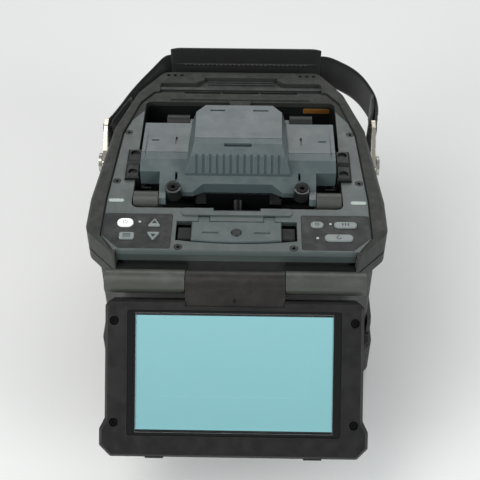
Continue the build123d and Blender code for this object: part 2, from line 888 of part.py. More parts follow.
def hood_plan(shrink=0.0):
    """Plan of the hood, with its rear corners cut off."""
    w = hood_half_width + 5.0 - shrink
    return [
        (-w, cover_front),
        (w, cover_front),
        (w - 4.5, cover_rear - 16.0 - shrink / 2),
        (w - 13.5, cover_rear - 4.5 - shrink),
        (w - 14.5, cover_rear + 1.0),
        (-w + 14.5, cover_rear + 1.0),
        (-w + 13.5, cover_rear - 4.5 - shrink),
        (-w + 4.5, cover_rear - 16.0 - shrink / 2),
    ]


def wing_plan(shrink=0.0):
    """Plan of the wings: set back in the middle of the front, and cut away in front of the barrels."""
    edge = wing_half_width + 1.0
    notch = front_barrel_x - gap - shrink
    right_side = [
        (20.0 - shrink, cover_front + 4.5 + shrink),
        (26.0 - shrink, cover_front + 1.2 + shrink),
        (27.0 - shrink, cover_front - 1.0),
        (notch, cover_front - 1.0),
        (notch, notch_rear + shrink),
        (edge, notch_rear + shrink),
        (edge, cover_rear + 1.0),
    ]
    return mirrored_outline(right_side)


def cover_body(shrink):
    """Outer form of the closed wind cover, or its cavity where shrink is the wall."""
    hood_x = hood_half_width + 3.4
    hood = side_prism(hood_profile(shrink), -hood_x, hood_x)
    front_view = Plane.XZ * polygon(hood_front_view(shrink))
    hood &= extrude(front_view, 2 * half_d, both=True)
    hood &= prism(hood_plan(shrink), cover_axis_z - 5.0, deck_z + hood_rise + 1)
    wing_x = wing_half_width - shrink
    wings = side_prism(wing_profile(shrink), -wing_x, wing_x)
    wings &= prism(wing_plan(shrink), cover_axis_z - 5.0, deck_z + wing_rise + 1)
    return hood + wings


def make_wind_cover():
    shell = cover_body(0.0) - cover_body(cover_wall)
    low = cover_axis_z - 5.0
    high = deck_z + hood_rise + 5
    # the shell stops level with the deck's underside, and its sides end lower at the fibre line
    shell -= block(-half_w, half_w, -half_d, half_d, low, deck_under + 0.5)
    for side in both_sides(
        side_prism(
            [
                (axis_y, axis_z - 1.2),
                (axis_y + 2.0, axis_z + 1.0),
                (axis_y, axis_z + 1.8),
                (axis_y - 2.0, axis_z + 1.0),
            ],
            wing_half_width - 4.0, wing_half_width + 1,
        )
    ):
        shell -= side
    for side in both_sides(
        block(wing_half_width - 4.0, wing_half_width + 1, axis_y - 0.6, axis_y + 0.6, low, axis_z)
    ):
        shell -= side

    rear = shell & block(-half_w, half_w, axis_y + 0.15, half_d, low, high)
    front = shell & block(-half_w, half_w, -half_d, axis_y - 0.15, low, high)

    # rear half: arms to its hinge, room for the drive barrels, slots in its top
    arm_in = rear_barrel_x - gap - 4.0
    for side in both_sides(
        side_prism(
            [
                (cover_rear - cover_wall, deck_under + 0.5),
                (cover_rear - cover_wall, deck_z + 2.5),
                (rear_axis_y, cover_axis_z + 3.6),
                (rear_axis_y + 3.4, cover_axis_z),
                (rear_axis_y, cover_axis_z - 3.4),
            ],
            arm_in,
            rear_barrel_x - gap,
        )
    ):
        rear += side
    for side in both_sides(
        rod(
            (rear_barrel_x - gap, rear_axis_y, cover_axis_z),
            (rear_barrel_x + barrel_length + gap, rear_axis_y, cover_axis_z),
            barrel_radius + 0.5,
        )
    ):
        rear -= side
    hood_top = deck_z + hood_rise
    for side in both_sides(
        block(8.5, 17.5, cover_rear - 11.5, cover_rear - 10.2, hood_top - 3.0, hood_top + 1)
    ):
        rear -= side
    for side in both_sides(
        block(36.8, 38.0, axis_y + 8.0, axis_y + 15.0, deck_z + wing_rise - 1.6, hood_top)
    ):
        rear -= side
    for side in both_sides(
        block(48.0, 52.5, axis_y + 11.0, axis_y + 12.2, deck_z + wing_rise - 1.6, hood_top)
    ):
        rear -= side
    for side in both_sides(
        block(54.6, 55.3, axis_y, cover_rear - 10.0, deck_z + wing_rise - 0.8, hood_top)
    ):
        rear -= side
    for side in both_sides(
        rod(
            (arm_in, rear_axis_y, cover_axis_z),
            (rear_barrel_x + barrel_length - 2.0, rear_axis_y, cover_axis_z),
            cover_pin_radius,
        )
    ):
        rear += side
    keep("wind_cover_rear", rear)

    # front half: arms, barrel notches, ribbed grip, finger notch and screw lugs
    arm_in = front_barrel_x - gap - 4.0
    for side in both_sides(
        side_prism(
            [
                (cover_front + cover_wall, deck_under + 0.5),
                (cover_front + cover_wall, deck_z + 1.4),
                (front_axis_y - 1.5, cover_axis_z + 3.4),
                (front_axis_y - 3.4, cover_axis_z),
                (front_axis_y, cover_axis_z - 3.4),
            ],
            arm_in,
            front_barrel_x - gap,
        )
    ):
        front += side
    for side in both_sides(
        rod(
            (front_barrel_x - gap, front_axis_y, cover_axis_z),
            (wing_half_width + 1, front_axis_y, cover_axis_z),
            barrel_radius + 1.2,
        )
    ):
        front -= side
    for side in both_sides(
        rod((lug_x, lug_y, deck_under + 0.5), (lug_x, lug_y, deck_z + 4.4), 4.8)
        & block(0, arm_in - 0.3, -half_d, cover_front + 1.0, low, high)
    ):
        front += side
    for side in both_sides(rod((lug_x, lug_y, deck_z + 2.8), (lug_x, lug_y, deck_z + 9), 3.5)):
        front -= side
    for side in both_sides(rod((lug_x, lug_y, deck_z), (lug_x, lug_y, deck_z + 9), 1.5)):
        front -= side
    # ribs: shallow upright grooves across the finger grip
    ribs = 13
    pitch = 2 * (hood_half_width - 2.0) / ribs
    low_y, low_z = hood_front, deck_z + grip_low
    high_y, high_z = hood_front + grip_run, deck_z + grip_high
    face = math.hypot(high_y - low_y, high_z - low_z)
    in_y, in_z = (high_z - low_z) / face * rib_depth, -(high_y - low_y) / face * rib_depth
    for i in range(ribs):
        x = (i - (ribs - 1) / 2) * pitch
        front -= side_prism(
            [
                (low_y - in_y, low_z - in_z),
                (low_y + in_y, low_z + in_z),
                (high_y + in_y, high_z + in_z),
                (high_y + 1.2, high_z + 1.0),
                (high_y - in_y, high_z - in_z),
            ],
            x - 0.9,
            x + 0.9,
        )
    for side in both_sides(
        block(35.3, 36.7, cover_front + 5.5, cover_front + 11.5, deck_z + 4.2, deck_z + 9)
    ):
        front -= side
    front -= block(
        -8.0, 8.0, axis_y - 6.0, axis_y - 4.2, deck_z + hood_rise - 5, deck_z + hood_rise + 1
    )
    for side in both_sides(
        block(54.6, 55.3, notch_rear + 3.0, axis_y, deck_z + wing_rise - 0.8, hood_top)
    ):
        front -= side
    for side in both_sides(
        rod(
            (arm_in, front_axis_y, cover_axis_z),
            (front_barrel_x + barrel_length - 2.0, front_axis_y, cover_axis_z),
            cover_pin_radius,
        )
    ):
        front += side
    keep("wind_cover_front", front)
    screws = []
    for sx in (-1, 1):
        screw = rod((sx * lug_x, lug_y, deck_z + 2.8), (sx * lug_x, lug_y, deck_z + 4.8), 3.2)
        screw -= Pos(sx * lug_x, lug_y, deck_z + 3.8) * extrude(RegularPolygon(1.5, 6), 2)
        screws.append(screw + rod((sx * lug_x, lug_y, deck_z), (sx * lug_x, lug_y, deck_z + 2.8), 1.5))
    keep("cover_screws", *screws)

    # what the rear half carries inside: a lamp for each microscope, and the pads that press the fibres down
    under = deck_z + hood_rise
    solid = cover_body(0.0)
    cavity = cover_body(cover_wall)
    roof = solid - cavity
    lights = []
    for y in (axis_y + 4.0, axis_y + 12.5):
        lights.append(
            block(-7.0, 7.0, y, y + 6.0, under - 6.0, under) + rod(
                (0, y + 3, under - 8.0), (0, y + 3, under - 6.0), 2.0
            )
        )
    keep("cover_lamps", *[(light & cavity) - roof for light in lights])
    pad = block(4.0, 10.0, axis_y + 0.6, axis_y + 3.4, axis_z + 1.0, under)
    pad += block(4.0, 10.0, axis_y - 3.0, axis_y + 3.4, axis_z + 0.6, axis_z + 2.6)
    keep("fibre_clamp_pads", *both_sides((pad & cavity) - roof))


rib_depth = 0.9
lug_x = 37.5 * half_w / 85.0
lug_y = cover_front + 1.0
notch_rear = cover_front + 11.5
# the ribbed face of the hood: heights over the deck, and its run
grip_low, grip_high, grip_run = 8.5, 17.5, 5.0


# ---------------------------------------------------------------- sleeve heater
def make_heater():
    pan = block(-pan_half_width, pan_half_width, pan_front, pan_rear, deck_under - 12.0, deck_under)
    pan -= Pos(0, 0, deck_under - 10.5) * extrude(heater_recess(), 20)
    for side in both_sides(
        block(
            knuckle_x - knuckle_half - gap, knuckle_x + knuckle_half + gap, heater_rear - 1, pan_rear + 1,
            deck_under - 1.5, deck_under + 1,
        )
    ):
        pan -= side
    keep("heater_pan", pan)

    middle = (heater_rear + heater_front) / 2
    plate = block(
        -lid_half_width, lid_half_width, middle - 6.0, middle + 6.0, deck_under - 10.5, deck_under - 2.0
    )
    plate -= block(-half_w, half_w, middle - 2.6, middle + 2.6, deck_under - 6.5, deck_under)
    plate -= rod((-half_w, middle, deck_under - 6.5), (half_w, middle, deck_under - 6.5), 2.6)
    keep("heater_plate", plate)

    # lid: a plate with a bowed front edge, and two knuckles on pins
    lid_rear = heater_rear - 0.9
    lid_front = lid_rear - lid_length
    lid_z0 = lid_axis_z - 0.1
    outline = Polyline(
        (-lid_half_width, lid_front + 1.6), (-lid_half_width, lid_rear), (lid_half_width, lid_rear),
        (lid_half_width, lid_front + 1.6),
    )
    bow = ThreePointArc(
        (lid_half_width, lid_front + 1.6), (0, lid_front), (-lid_half_width, lid_front + 1.6)
    )
    lid = Pos(0, 0, lid_z0) * extrude(make_face([outline, bow]), lid_thick)
    lid = chamfer(lid.faces().sort_by(Axis.Z)[-1].edges(), 0.5)
    for sx in (-1, 1):
        x0, x1 = sorted((sx * (knuckle_x - knuckle_half), sx * (knuckle_x + knuckle_half)))
        lid += rod((x0, lid_axis_y, lid_axis_z), (x1, lid_axis_y, lid_axis_z), 1.9)
        lid += block(x0, x1, lid_rear - 0.5, lid_axis_y, lid_axis_z - 0.1, lid_axis_z + 1.6)
        lid -= rod(
            (x0 - 1, lid_axis_y, lid_axis_z), (x1 + 1, lid_axis_y, lid_axis_z), lid_pin_radius + running
        )
        # shallow dashes either side of the grip
        d0, d1 = sorted((sx * 10.0, sx * 19.0))
        lid -= block(d0, d1, middle - 1.7, middle - 0.4, lid_z0 + lid_thick - 0.5, deck_z + 5)
    # felt-lined channel that holds the sleeve down
    lid += block(
        -lid_half_width + 3, lid_half_width - 3, middle - 3.0, middle + 3.0, lid_z0 - 1.6, lid_z0
    )
    lid -= rod((0, lid_grip_y, lid_z0 + lid_thick - 0.8), (0, lid_grip_y, deck_z + 5), 3.0)
    keep("heater_lid", lid)
    grip = rod(
        (0, lid_grip_y, lid_z0 + lid_thick - 0.8), (0, lid_grip_y, lid_z0 + lid_thick + 0.7), 3.0
    )
    keep("lid_grip", chamfer(grip.edges().group_by(Axis.Z)[-1], 0.6))
    hinge_pins.extend(
        both_sides(
            rod(
                (knuckle_x - 6.5, lid_axis_y, lid_axis_z),
                (knuckle_x + 6.5, lid_axis_y, lid_axis_z),
                lid_pin_radius,
            )
        )
    )

    # clamps that hold the fibre at each end of the heater, carried by the lid
    clamp = block(
        lid_half_width, heater_half_width - 1.2, middle - 4.5, middle + 4.5, lid_z0 - 3.4, lid_z0 + 1.0
    )
    clamp = chamfer(clamp.faces().sort_by(Axis.Z)[-1].edges(), 0.5)
    clamp += block(
        lid_half_width + 1.5,
        heater_half_width - 2.7,
        middle - 2.0,
        middle + 2.0,
        lid_z0 - 4.2,
        lid_z0 - 3.4,
    )
    keep("heater_clamps", *both_sides(clamp))


lid_grip_y = (heater_rear + heater_front) / 2 - 0.8


# ---------------------------------------------------------------- keypads
def oval(width, height):
    return RectangleRounded(width, height, min(width, height) / 2 - 0.05)


def triangle(size, up):
    """Key with a rounded triangular outline."""
    s = size if up else -size
    points = [(-size * 0.62, -s * 0.42), (size * 0.62, -s * 0.42), (0, s * 0.62)]
    if not up:
        points = points[::-1]
    return polygon(points, 0.7)


# name, place, outline
key_dx = half_w - 85.0
key_list = [
    ("power_button", (-62.9 - key_dx, -60.6), oval(9.0, 6.4)),
    ("menu_button", (-61.2 - key_dx, -71.2), RectangleRounded(8.6, 5.4, 1.4)),
    ("up_button", (-46.4, -60.8), triangle(6.4, True)),
    ("down_button", (-46.4, -70.8), triangle(6.4, False)),
    ("set_button", (45.4, -60.6), oval(7.4, 4.8)),
    ("heat_button", (61.4 + key_dx, -60.6), oval(13.0, 4.8)),
    ("reset_button", (57.2 + key_dx, -71.0), oval(16.0, 5.4)),
]


def make_keypads():
    panel_top = deck_z - 0.1
    panel_low = deck_z - panel_thick
    right = prism(keypad_outline(), panel_low, panel_top, 1.3)
    left = mirror(right, about=Plane.YZ)
    board_z = panel_low - button_travel - 3.4
    for name, (x, y), outline in key_list:
        place = Pos(x, y, 0)
        hole = place * Pos(0, 0, panel_low - 1) * extrude(offset(outline, 0.25), panel_thick + 2)
        if x < 0:
            left -= hole
        else:
            right -= hole
        cap = Pos(0, 0, panel_low - 1.6) * extrude(outline, panel_thick + 1.6 + button_proud)
        cap = chamfer(cap.faces().sort_by(Axis.Z)[-1].edges(), 0.4)
        flange = Pos(0, 0, panel_low - 1.6) * extrude(offset(outline, 0.9), 1.3)
        stem = rod((0, 0, board_z + button_travel + 0.2), (0, 0, panel_low - 1.6), 1.3)
        keep(name, place * (cap + flange + stem))
    # tiny lamps beside the power and heat keys
    for x, y in ((-54.8, -59.6), (53.0, -59.6), (45.4, -71.0)):
        lamp = rod((x, y, panel_low), (x, y, panel_top + 0.15), 0.8)
        lamps.append(lamp)
        if x < 0:
            left -= lamp
        else:
            right -= lamp
    keep("keypad_panels", left, right)
    board = block(
        keypad_inner_x + panel_ledge, keypad_outer_x - panel_ledge - 3.0, keypad_front + panel_ledge + 1.0,
        keypad_rear - panel_ledge, board_z - 1.4, board_z,
    )
    board &= prism(inset(frame_outline, bumper_thick + wall + 0.6), board_z - 2, board_z)
    for x, y in ((41.2, -75.4), (52.0, -65.6)):
        board += rod((x, y, board_z), (x, y, panel_low), 1.3)
    boards.extend(both_sides(board))


# ---------------------------------------------------------------- monitor
def leaned(shape):
    """Swings what was drawn hanging straight down to the angle that the monitor rests at."""
    return shape.rotate(Axis((0, hinge_y, hinge_z), (-1, 0, 0)), monitor_lean)


def monitor_outline(shrink=0.0, notch=0.0):
    """Front view of the monitor, hanging: square-cut at the top, with flared lower corners."""
    w, top = monitor_width / 2, hinge_z - monitor_drop
    low = top - monitor_height
    flare = 3.0
    points = mirrored_outline(
        [
            (w - 6.0 + flare, low),
            (w + flare, low + 6.0),
            (w + flare, low + 15.0),
            (w, low + 21.0),
            (w, top - 3.0),
            (w - 3.0, top),
        ],
    )
    return inset(points, shrink) if shrink else points


def front_prism(points, y0, y1, radius=0.0):
    """Outline of (x, z) points, run along Y from y0 to y1."""
    return Pos(0, y1, 0) * extrude(Plane.XZ * polygon(points, radius), y1 - y0)


def front_block(half_width, z0, z1, y0, y1, radius):
    """Slab facing the operator with rounded corners."""
    return front_prism(
        [(-half_width, z0), (half_width, z0), (half_width, z1), (-half_width, z1)], y0, y1, radius
    )


def make_monitor():
    top = hinge_z - monitor_drop
    front = hinge_y - monitor_thick / 2 + 0.5
    back = front + monitor_thick
    split = front + bezel_thick
    picture_top = top - screen_top
    picture_low = picture_top - screen_height
    arm_low = top - 3.2
    arm_front, arm_back = hinge_y - 5.6, hinge_y + 5.0
    arm_slot = block(-arm_half_width, arm_half_width, front - 1, back + 1, arm_low, top + 1)

    glass_half = screen_width / 2 + 4.0
    glass_low, glass_high = picture_low - 4.0, picture_top + 4.0
    bezel = front_prism(monitor_outline(), front, split, 2.0)
    bezel = chamfer(bezel.faces().sort_by(Axis.Y)[0].outer_wire().edges(), 1.4)
    bezel -= front_block(glass_half, glass_low, glass_high, front - 1, front + 1.9, 1.5)
    bezel -= front_block(
        screen_width / 2 + 1.0, picture_low - 1.0, picture_top + 1.0, front, split + 1, 0.5
    )
    bezel -= front_block(glass_half, glass_low, glass_high, front + 3.2, split + 1, 1.5)
    bezel -= arm_slot
    # two small pads along the lower edge, and the seats of the corner screws
    for sx in (-1, 1):
        x0, x1 = sorted((sx * 38.0, sx * 48.0))
        bezel += block(
            x0, x1, front + 1.4, split - 1.0, top - monitor_height - 0.8, top - monitor_height + 1.0
        )
    screw_places = [
        (sx * (monitor_width / 2 - 5.0), z) for sx in (-1, 1) for z in (
            picture_top - 2.0, picture_low + 3.0
        )
    ]
    for x, z in screw_places:
        bezel -= rod((x, front - 1, z), (x, front + 2.0, z), 2.5)
        bezel -= rod((x, front, z), (x, split + 1, z), 1.2)
    keep("monitor_bezel", leaned(bezel))

    shell = front_prism(monitor_outline(), split, back, 2.0)
    shell = chamfer(shell.faces().sort_by(Axis.Y)[-1].outer_wire().edges(), 1.4)
    cavity = front_prism(monitor_outline(2.4), split - 1, back - 2.4, 1.0)
    shell -= cavity - block(
        -arm_half_width - 2.4, arm_half_width + 2.4, split - 2, back, arm_low - 2.4, top + 1
    )
    shell -= arm_slot
    for x, z in screw_places:
        shell += rod((x, split, z), (x, back - 1.0, z), 3.0)
        shell -= rod((x, split - 1, z), (x, split + 5.0, z), 1.2)
    # shallow ribs moulded in the back
    for i in range(4):
        z = picture_low + 10.0 + i * 11.0
        shell -= block(-45.0, 45.0, back - 0.8, back + 1, z, z + 2.0)
    keep("monitor_back_shell", leaned(shell))

    keep(
        "touch_glass",
        leaned(
            front_block(
                glass_half - 0.15, glass_low + 0.15, glass_high - 0.15, front + 0.6, front + 1.9, 1.35
            ),
        ),
    )
    module = front_block(
        screen_width / 2 + 0.9, picture_low - 0.9, picture_top + 0.9, front + 1.9, split + 1.5, 0.4
    )
    module += block(-48.0, 48.0, split + 3.2, split + 4.6, picture_low + 4.0, picture_top - 6.0)
    module += block(-40.0, 40.0, split + 1.5, split + 3.2, picture_low + 16.0, picture_low + 40.0)
    keep("display_panel", leaned(module))
    arm = rod((-arm_half_width, hinge_y, hinge_z), (arm_half_width, hinge_y, hinge_z), hinge_radius)
    arm += block(-arm_half_width, arm_half_width, arm_front, arm_back, arm_low, hinge_z)
    arm -= rod(
        (-arm_half_width - 1, hinge_y, hinge_z),
        (arm_half_width + 1, hinge_y, hinge_z),
        hinge_pin_radius + running,
    )
    arm -= rod((0, arm_front - 1, arm_low + 3.0), (0, arm_front + 1.2, arm_low + 3.0), 1.3)
    keep("monitor_arm", leaned(arm))

    screws = []
    for x, z in screw_places:
        screw = rod((x, front + 0.8, z), (x, front + 2.0, z), 2.2)
        screw -= Pos(x, front + 1.5, z) * extrude(Plane.XZ * RegularPolygon(1.1, 6), 2)
        screws.append(screw + rod((x, front + 2.0, z), (x, split + 4.0, z), 1.2))
    keep("monitor_screws", *[leaned(s) for s in screws])

    # the casing's half of the hinge
    inner = arm_half_width + 0.4
    knuckle = rod((inner, hinge_y, hinge_z), (hinge_half_length, hinge_y, hinge_z), hinge_radius)
    knuckle += block(
        inner, hinge_half_length - 5.0, hinge_y, casing_front, hinge_z - 5.5, hinge_z - 0.5
    )
    knuckle -= rod((0, hinge_y, hinge_z), (hinge_half_length - 2.0, hinge_y, hinge_z), hinge_pin_radius)
    keep("hinge_knuckles", *both_sides(knuckle))
    hinge_pins.append(
        rod(
            (-hinge_half_length + 2.0, hinge_y, hinge_z), (hinge_half_length - 2.0, hinge_y, hinge_z),
            hinge_pin_radius,
        )
    )


# ---------------------------------------------------------------- battery, boards, fan, sockets
def make_battery():
    x0 = -casing_side
    x1 = x0 + battery_length
    half = battery_width / 2
    low, high = battery_bottom, battery_bottom + battery_height
    pack = block(-half_w, x1, -half, half, low, high)
    pack = chamfer(pack.edges().filter_by(Axis.X), 1.0)
    pack &= prism(casing_outline, 0, seam_height, corner_round)
    # contact recess at the inner end, thumb-catch recess in the outer end
    pack -= block(
        x1 - 4.0,
        x1 + 1,
        -terminal_half_width + 2.0,
        terminal_half_width - 2.0,
        terminal_z - 3.0,
        terminal_z + 3.0,
    )
    face = side_at(0) - bumper_thick
    pocket_x = -face + 4.5
    pack -= block(-half_w, pocket_x, -9.0, 9.0, high - 11.0, high - 4.0)
    keep("battery_pack", pack)
    catch = block(-face + 0.3, pocket_x - 0.3, -8.6, 2.0, high - 10.7, high - 4.3)
    for i in range(4):
        y = -7.0 + i * 2.2
        catch -= block(-face - 1, -face + 1.0, y, y + 1.0, high - 11.0, high - 4.0)
    keep("battery_catch", catch)

    blades = block(
        x1 - 3.0,
        x1 + 6.0,
        -terminal_half_width,
        terminal_half_width,
        terminal_z - 2.0,
        terminal_z + 2.0,
    )
    blades &= block(x1 + 1.0, x1 + 6.0, -half_d, half_d, 0, deck_z)
    for i in range(5):
        y = -12.0 + i * 6.0
        blades += block(x1 - 3.0, x1 + 1.0, y - 0.8, y + 0.8, terminal_z - 1.5, terminal_z + 1.5)
    connectors.append(blades)


def make_electronics():
    board_x, board_y = half_w - 21.0, half_d - 26.0
    low = battery_bottom + battery_height + gap + wall + 2.0
    board = block(-board_x, board_x, -board_y, board_y - 8.0, low, low + 1.6)
    board &= prism(inset(frame_outline, bumper_thick + wall + 0.6), low, low + 1.6)
    for x, y in casing_screw_places:
        board -= rod((x, y, low - 1), (x, y, low + 3), 5.2)
    for x, y, w, d, h in (
        (-34, -30, 26, 26, 3.0), (8, -38, 18, 14, 2.2), (-30, 22, 34, 16, 6.0), (20, 30, 14, 14, 2.0)
    ):
        board += block(x, x + w, y, y + d, low + 1.6, low + 1.6 + h)
    # spacers down to the tray's battery cradle
    for x, y in ((-58.0, -30.0), (0.0, -30.0), (-58.0, 30.0), (0.0, 30.0)):
        board += rod((x, y, low - 2.0), (x, y, low), 2.0)
    boards.append(board)
    unit = rounded_block(30.0, 60.0, -30.0, 14.0, low + 1.6, low + 22.0, 2.0)
    unit += rod((36.0, -22.0, low + 22.0), (36.0, -22.0, low + 24.0), 3.0)
    unit += rod((36.0, -8.0, low + 22.0), (36.0, -8.0, low + 24.0), 3.0)
    keep("arc_power_unit", unit)

    y1 = casing_rear - wall
    y0 = y1 - fan_thick
    half = fan_size / 2
    frame = front_block(half, fan_z - half, fan_z + half, y0, y1, 3.0)
    frame -= rod((0, y0 - 1, fan_z), (0, y1 - 1.2, fan_z), half - 1.6)
    frame -= rod((0, y1 - 2.0, fan_z), (0, y1 + 1, fan_z), half - 1.6)
    strut = block(-half + 1.0, half - 1.0, y0, y0 + 1.6, fan_z - 1.4, fan_z + 1.4)
    strut += block(-1.4, 1.4, y0, y0 + 1.6, fan_z - half + 1.0, fan_z + half - 1.0)
    hub_plate = rod((0, y0, fan_z), (0, y0 + 1.6, fan_z), 6.0)
    frame += strut + hub_plate + rod((0, y0 + 1.6, fan_z), (0, y0 + 7.0, fan_z), 1.5)
    keep("fan_housing", frame)
    hub_y0, hub_y1 = y0 + 2.2, y1 - 1.2
    rotor = rod((0, hub_y0, fan_z), (0, hub_y1, fan_z), 6.0)
    blade_reach = half - 2.8
    blade = block(5.0, blade_reach, hub_y0 + 0.4, hub_y1 - 0.4, fan_z - 0.5, fan_z + 0.5)
    blade = blade.rotate(Axis((0, (hub_y0 + hub_y1) / 2, fan_z), (1, 0, 0)), 32.0)
    for i in range(7):
        rotor += blade.rotate(Axis((0, 0, fan_z), (0, 1, 0)), i * 360.0 / 7)
    rotor -= rod((0, hub_y0 - 1, fan_z), (0, y0 + 7.4, fan_z), 1.5 + running)
    keep("fan_rotor", rotor)

    outer = casing_side
    usb = block(outer - 12.0, outer - 0.4, usb_y - 4.8, usb_y + 4.8, port_z - 2.8, port_z + 2.8)
    usb -= block(outer - 8.0, outer + 1, usb_y - 4.0, usb_y + 4.0, port_z - 2.0, port_z + 2.0)
    usb += block(outer - 8.0, outer - 2.0, usb_y - 3.0, usb_y + 3.0, port_z - 0.9, port_z + 0.1)
    usb += block(outer - 9.0, outer - 8.0, usb_y - 4.8, usb_y + 4.8, port_z - 2.8, port_z + 2.8)
    connectors.append(usb)
    jack = rod((outer - 13.0, jack_y, port_z), (outer - 0.2, jack_y, port_z), jack_radius)
    jack -= rod((outer - 9.5, jack_y, port_z), (outer + 1, jack_y, port_z), jack_radius - 2.0)
    jack += rod((outer - 9.6, jack_y, port_z), (outer - 2.0, jack_y, port_z), 1.0)
    connectors.append(jack)

    door = prism(
        [
            (door_y0, door_low + 2.6),
            (door_y1, door_low + 2.6),
            (door_y1, port_z + 7.5),
            (door_y0, port_z + 7.5),
        ],
        0, 2.2, 2.5,
    )
    door = Plane(origin=(outer + gap, 0, 0), x_dir=(0, 1, 0), z_dir=(1, 0, 0)) * door
    door += rod((outer + 2.4, door_y0 + 5, port_z + 4.5), (outer + 2.4, door_y1 - 5, port_z + 4.5), 0.8)
    for y in (door_y0 + 3.2, door_y1 - 8.2):
        door += rod((door_hinge_x, y, door_hinge_z), (door_hinge_x, y + 5.0, door_hinge_z), 1.4)
        door += block(outer + 0.6, outer + gap + 2.2, y, y + 5.0, door_hinge_z, door_low + 3.5)
    door -= rod(
        (door_hinge_x, door_y0, door_hinge_z), (door_hinge_x, door_y1, door_hinge_z), 0.6 + running
    )
    keep("socket_door", door)


# ---------------------------------------------------------------- strap
def make_strap():
    ring_x = side_at(anchor_y - 18.0) + 0.5
    middle_x = ring_x + ring_thick / 2
    post = rod(
        (side_at(anchor_y) - bumper_thick - wall - 3.0, anchor_y, anchor_z),
        (ring_x + ring_thick + 0.4, anchor_y, anchor_z),
        anchor_radius,
    )
    post += rod(
        (ring_x + ring_thick + 0.4, anchor_y, anchor_z),
        (ring_x + ring_thick + 2.2, anchor_y, anchor_z),
        6.0,
    )
    inside = side_at(anchor_y) - bumper_thick - wall
    post += rod((inside - 4.0, anchor_y, anchor_z), (inside - 1.0, anchor_y, anchor_z), 6.0)
    keep("strap_posts", *both_sides(post))

    half = strap_height / 2 + 1.0
    bar = 3.0
    y_bar = anchor_y + ring_reach
    outline = [
        (anchor_y - 6.0, anchor_z - 5.0),
        (anchor_y + 4.0, anchor_z - 6.5),
        (y_bar - 5.5, anchor_z - half - 2.8),
        (y_bar + bar, anchor_z - half - 2.8),
        (y_bar + bar, anchor_z + half + 2.8),
        (y_bar - 5.5, anchor_z + half + 2.8),
        (anchor_y + 4.0, anchor_z + 6.5),
        (anchor_y - 6.0, anchor_z + 5.0),
    ]
    ring = side_prism(outline, ring_x, ring_x + ring_thick, 2.4)
    window = [
        (anchor_y + 9.0, anchor_z - 5.0),
        (y_bar - 4.5, anchor_z - half),
        (y_bar, anchor_z - half),
        (y_bar, anchor_z + half),
        (y_bar - 4.5, anchor_z + half),
        (anchor_y + 9.0, anchor_z + 5.0),
    ]
    ring -= side_prism(window, ring_x - 1, ring_x + ring_thick + 1, 1.0)
    ring -= rod((0, anchor_y, anchor_z), (half_w + 20, anchor_y, anchor_z), anchor_radius + running)

    keep("strap_rings", tilted(ring, right_tilt), tilted(mirror(ring, about=Plane.YZ), left_tilt))

    hem_wall = 1.5
    z0, z1 = anchor_z - strap_height / 2, anchor_z + strap_height / 2
    hem = rounded_block(
        ring_x - hem_wall,
        ring_x + ring_thick + hem_wall,
        y_bar - hem_wall,
        y_bar + bar + hem_wall,
        z0,
        z1,
        1.2,
    )
    hem -= block(ring_x, ring_x + ring_thick, y_bar, y_bar + bar, z0 - 1, z1 + 1)
    start_y = y_bar + bar + hem_wall - 0.2
    pad_y = half_d + 10.5
    pad_left, pad_right = -48.0, 54.0
    pocket = 4.0
    right_run = [
        (middle_x, start_y),
        (middle_x + 4.4, start_y + 14.0),
        (middle_x + 2.8, half_d - 25.0),
        (middle_x - 5.5, half_d - 5.5),
        (pad_right + 9.0, pad_y - 3.0),
        (pad_right + 3.0, pad_y),
        (pad_right - pocket, pad_y),
    ]
    left_run = [
        (-middle_x, start_y),
        (-middle_x + 3.2, start_y + 7.0),
        (-side_at(half_d - 23.0) - 3.6, half_d - 21.5),
        (-side_at(half_d) - 4.9, half_d + 1.1),
        (pad_left - 3.0, pad_y),
        (pad_left + pocket, pad_y),
    ]
    pad = rounded_block(
        pad_left, pad_right, pad_y - pad_thick / 2, pad_y + pad_thick / 2, anchor_z - pad_height / 2,
        anchor_z + pad_height / 2, pad_thick / 2 - 0.2,
    )
    pad = tilted(pad, pad_tilt)
    bands = []
    for points, end, angle in (
        (left_run, mirror(hem, about=Plane.YZ), left_tilt),
        (right_run, hem, right_tilt),
    ):
        path = FilletPolyline(*[(x, y, anchor_z) for x, y in points], radius=6.0)
        direction = Vector(points[1][0] - points[0][0], points[1][1] - points[0][1], 0)
        section = Plane(origin=(*points[0], anchor_z), x_dir=(0, 0, 1), z_dir=direction) * Rectangle(
            strap_height, strap_thick
        )
        bands.append(tilted(end + sweep(section, path), angle))
        inner_x, outer_x = points[-1][0], points[-2][0]
        seat = block(
            min(inner_x, outer_x),
            max(inner_x, outer_x),
            pad_y - strap_thick / 2,
            pad_y + strap_thick / 2,
            z0,
            z1,
        )
        pad -= tilted(seat, angle)
    keep("strap_webbing", *bands)
    keep("strap_pad", pad)


def tilted(shape, angle):
    """Turns a shape about the line through both strap anchors, its rear end upwards."""
    return shape.rotate(Axis((0, anchor_y, anchor_z), (1, 0, 0)), angle)


make_base()
make_side_casing()
make_deck()
make_rubber()
make_bay()
make_splice_block()
make_wind_cover()
make_heater()
make_keypads()
make_monitor()
make_battery()
make_electronics()
make_strap()
keep("body_screws", *body_screws)
keep("indicator_lamps", *lamps)
keep("drive_motors", *drives)
keep("hinge_pins", *hinge_pins)
keep("connectors", *connectors)
keep("circuit_boards", *boards)

os.makedirs("parts", exist_ok=True)
for node, solids in parts.items():
    export_step(Compound(children=solids) if len(solids) > 1 else solids[0], f"parts/{node}.step")
print(len(parts), "nodes,", sum(len(s) for s in parts.values()), "solids")
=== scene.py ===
"""The looks of a fibre fusion splicer: finishes, hand strap, key marks, label, studio and camera."""

import json
import math

import bmesh
import bpy
from mathutils import Matrix, Vector


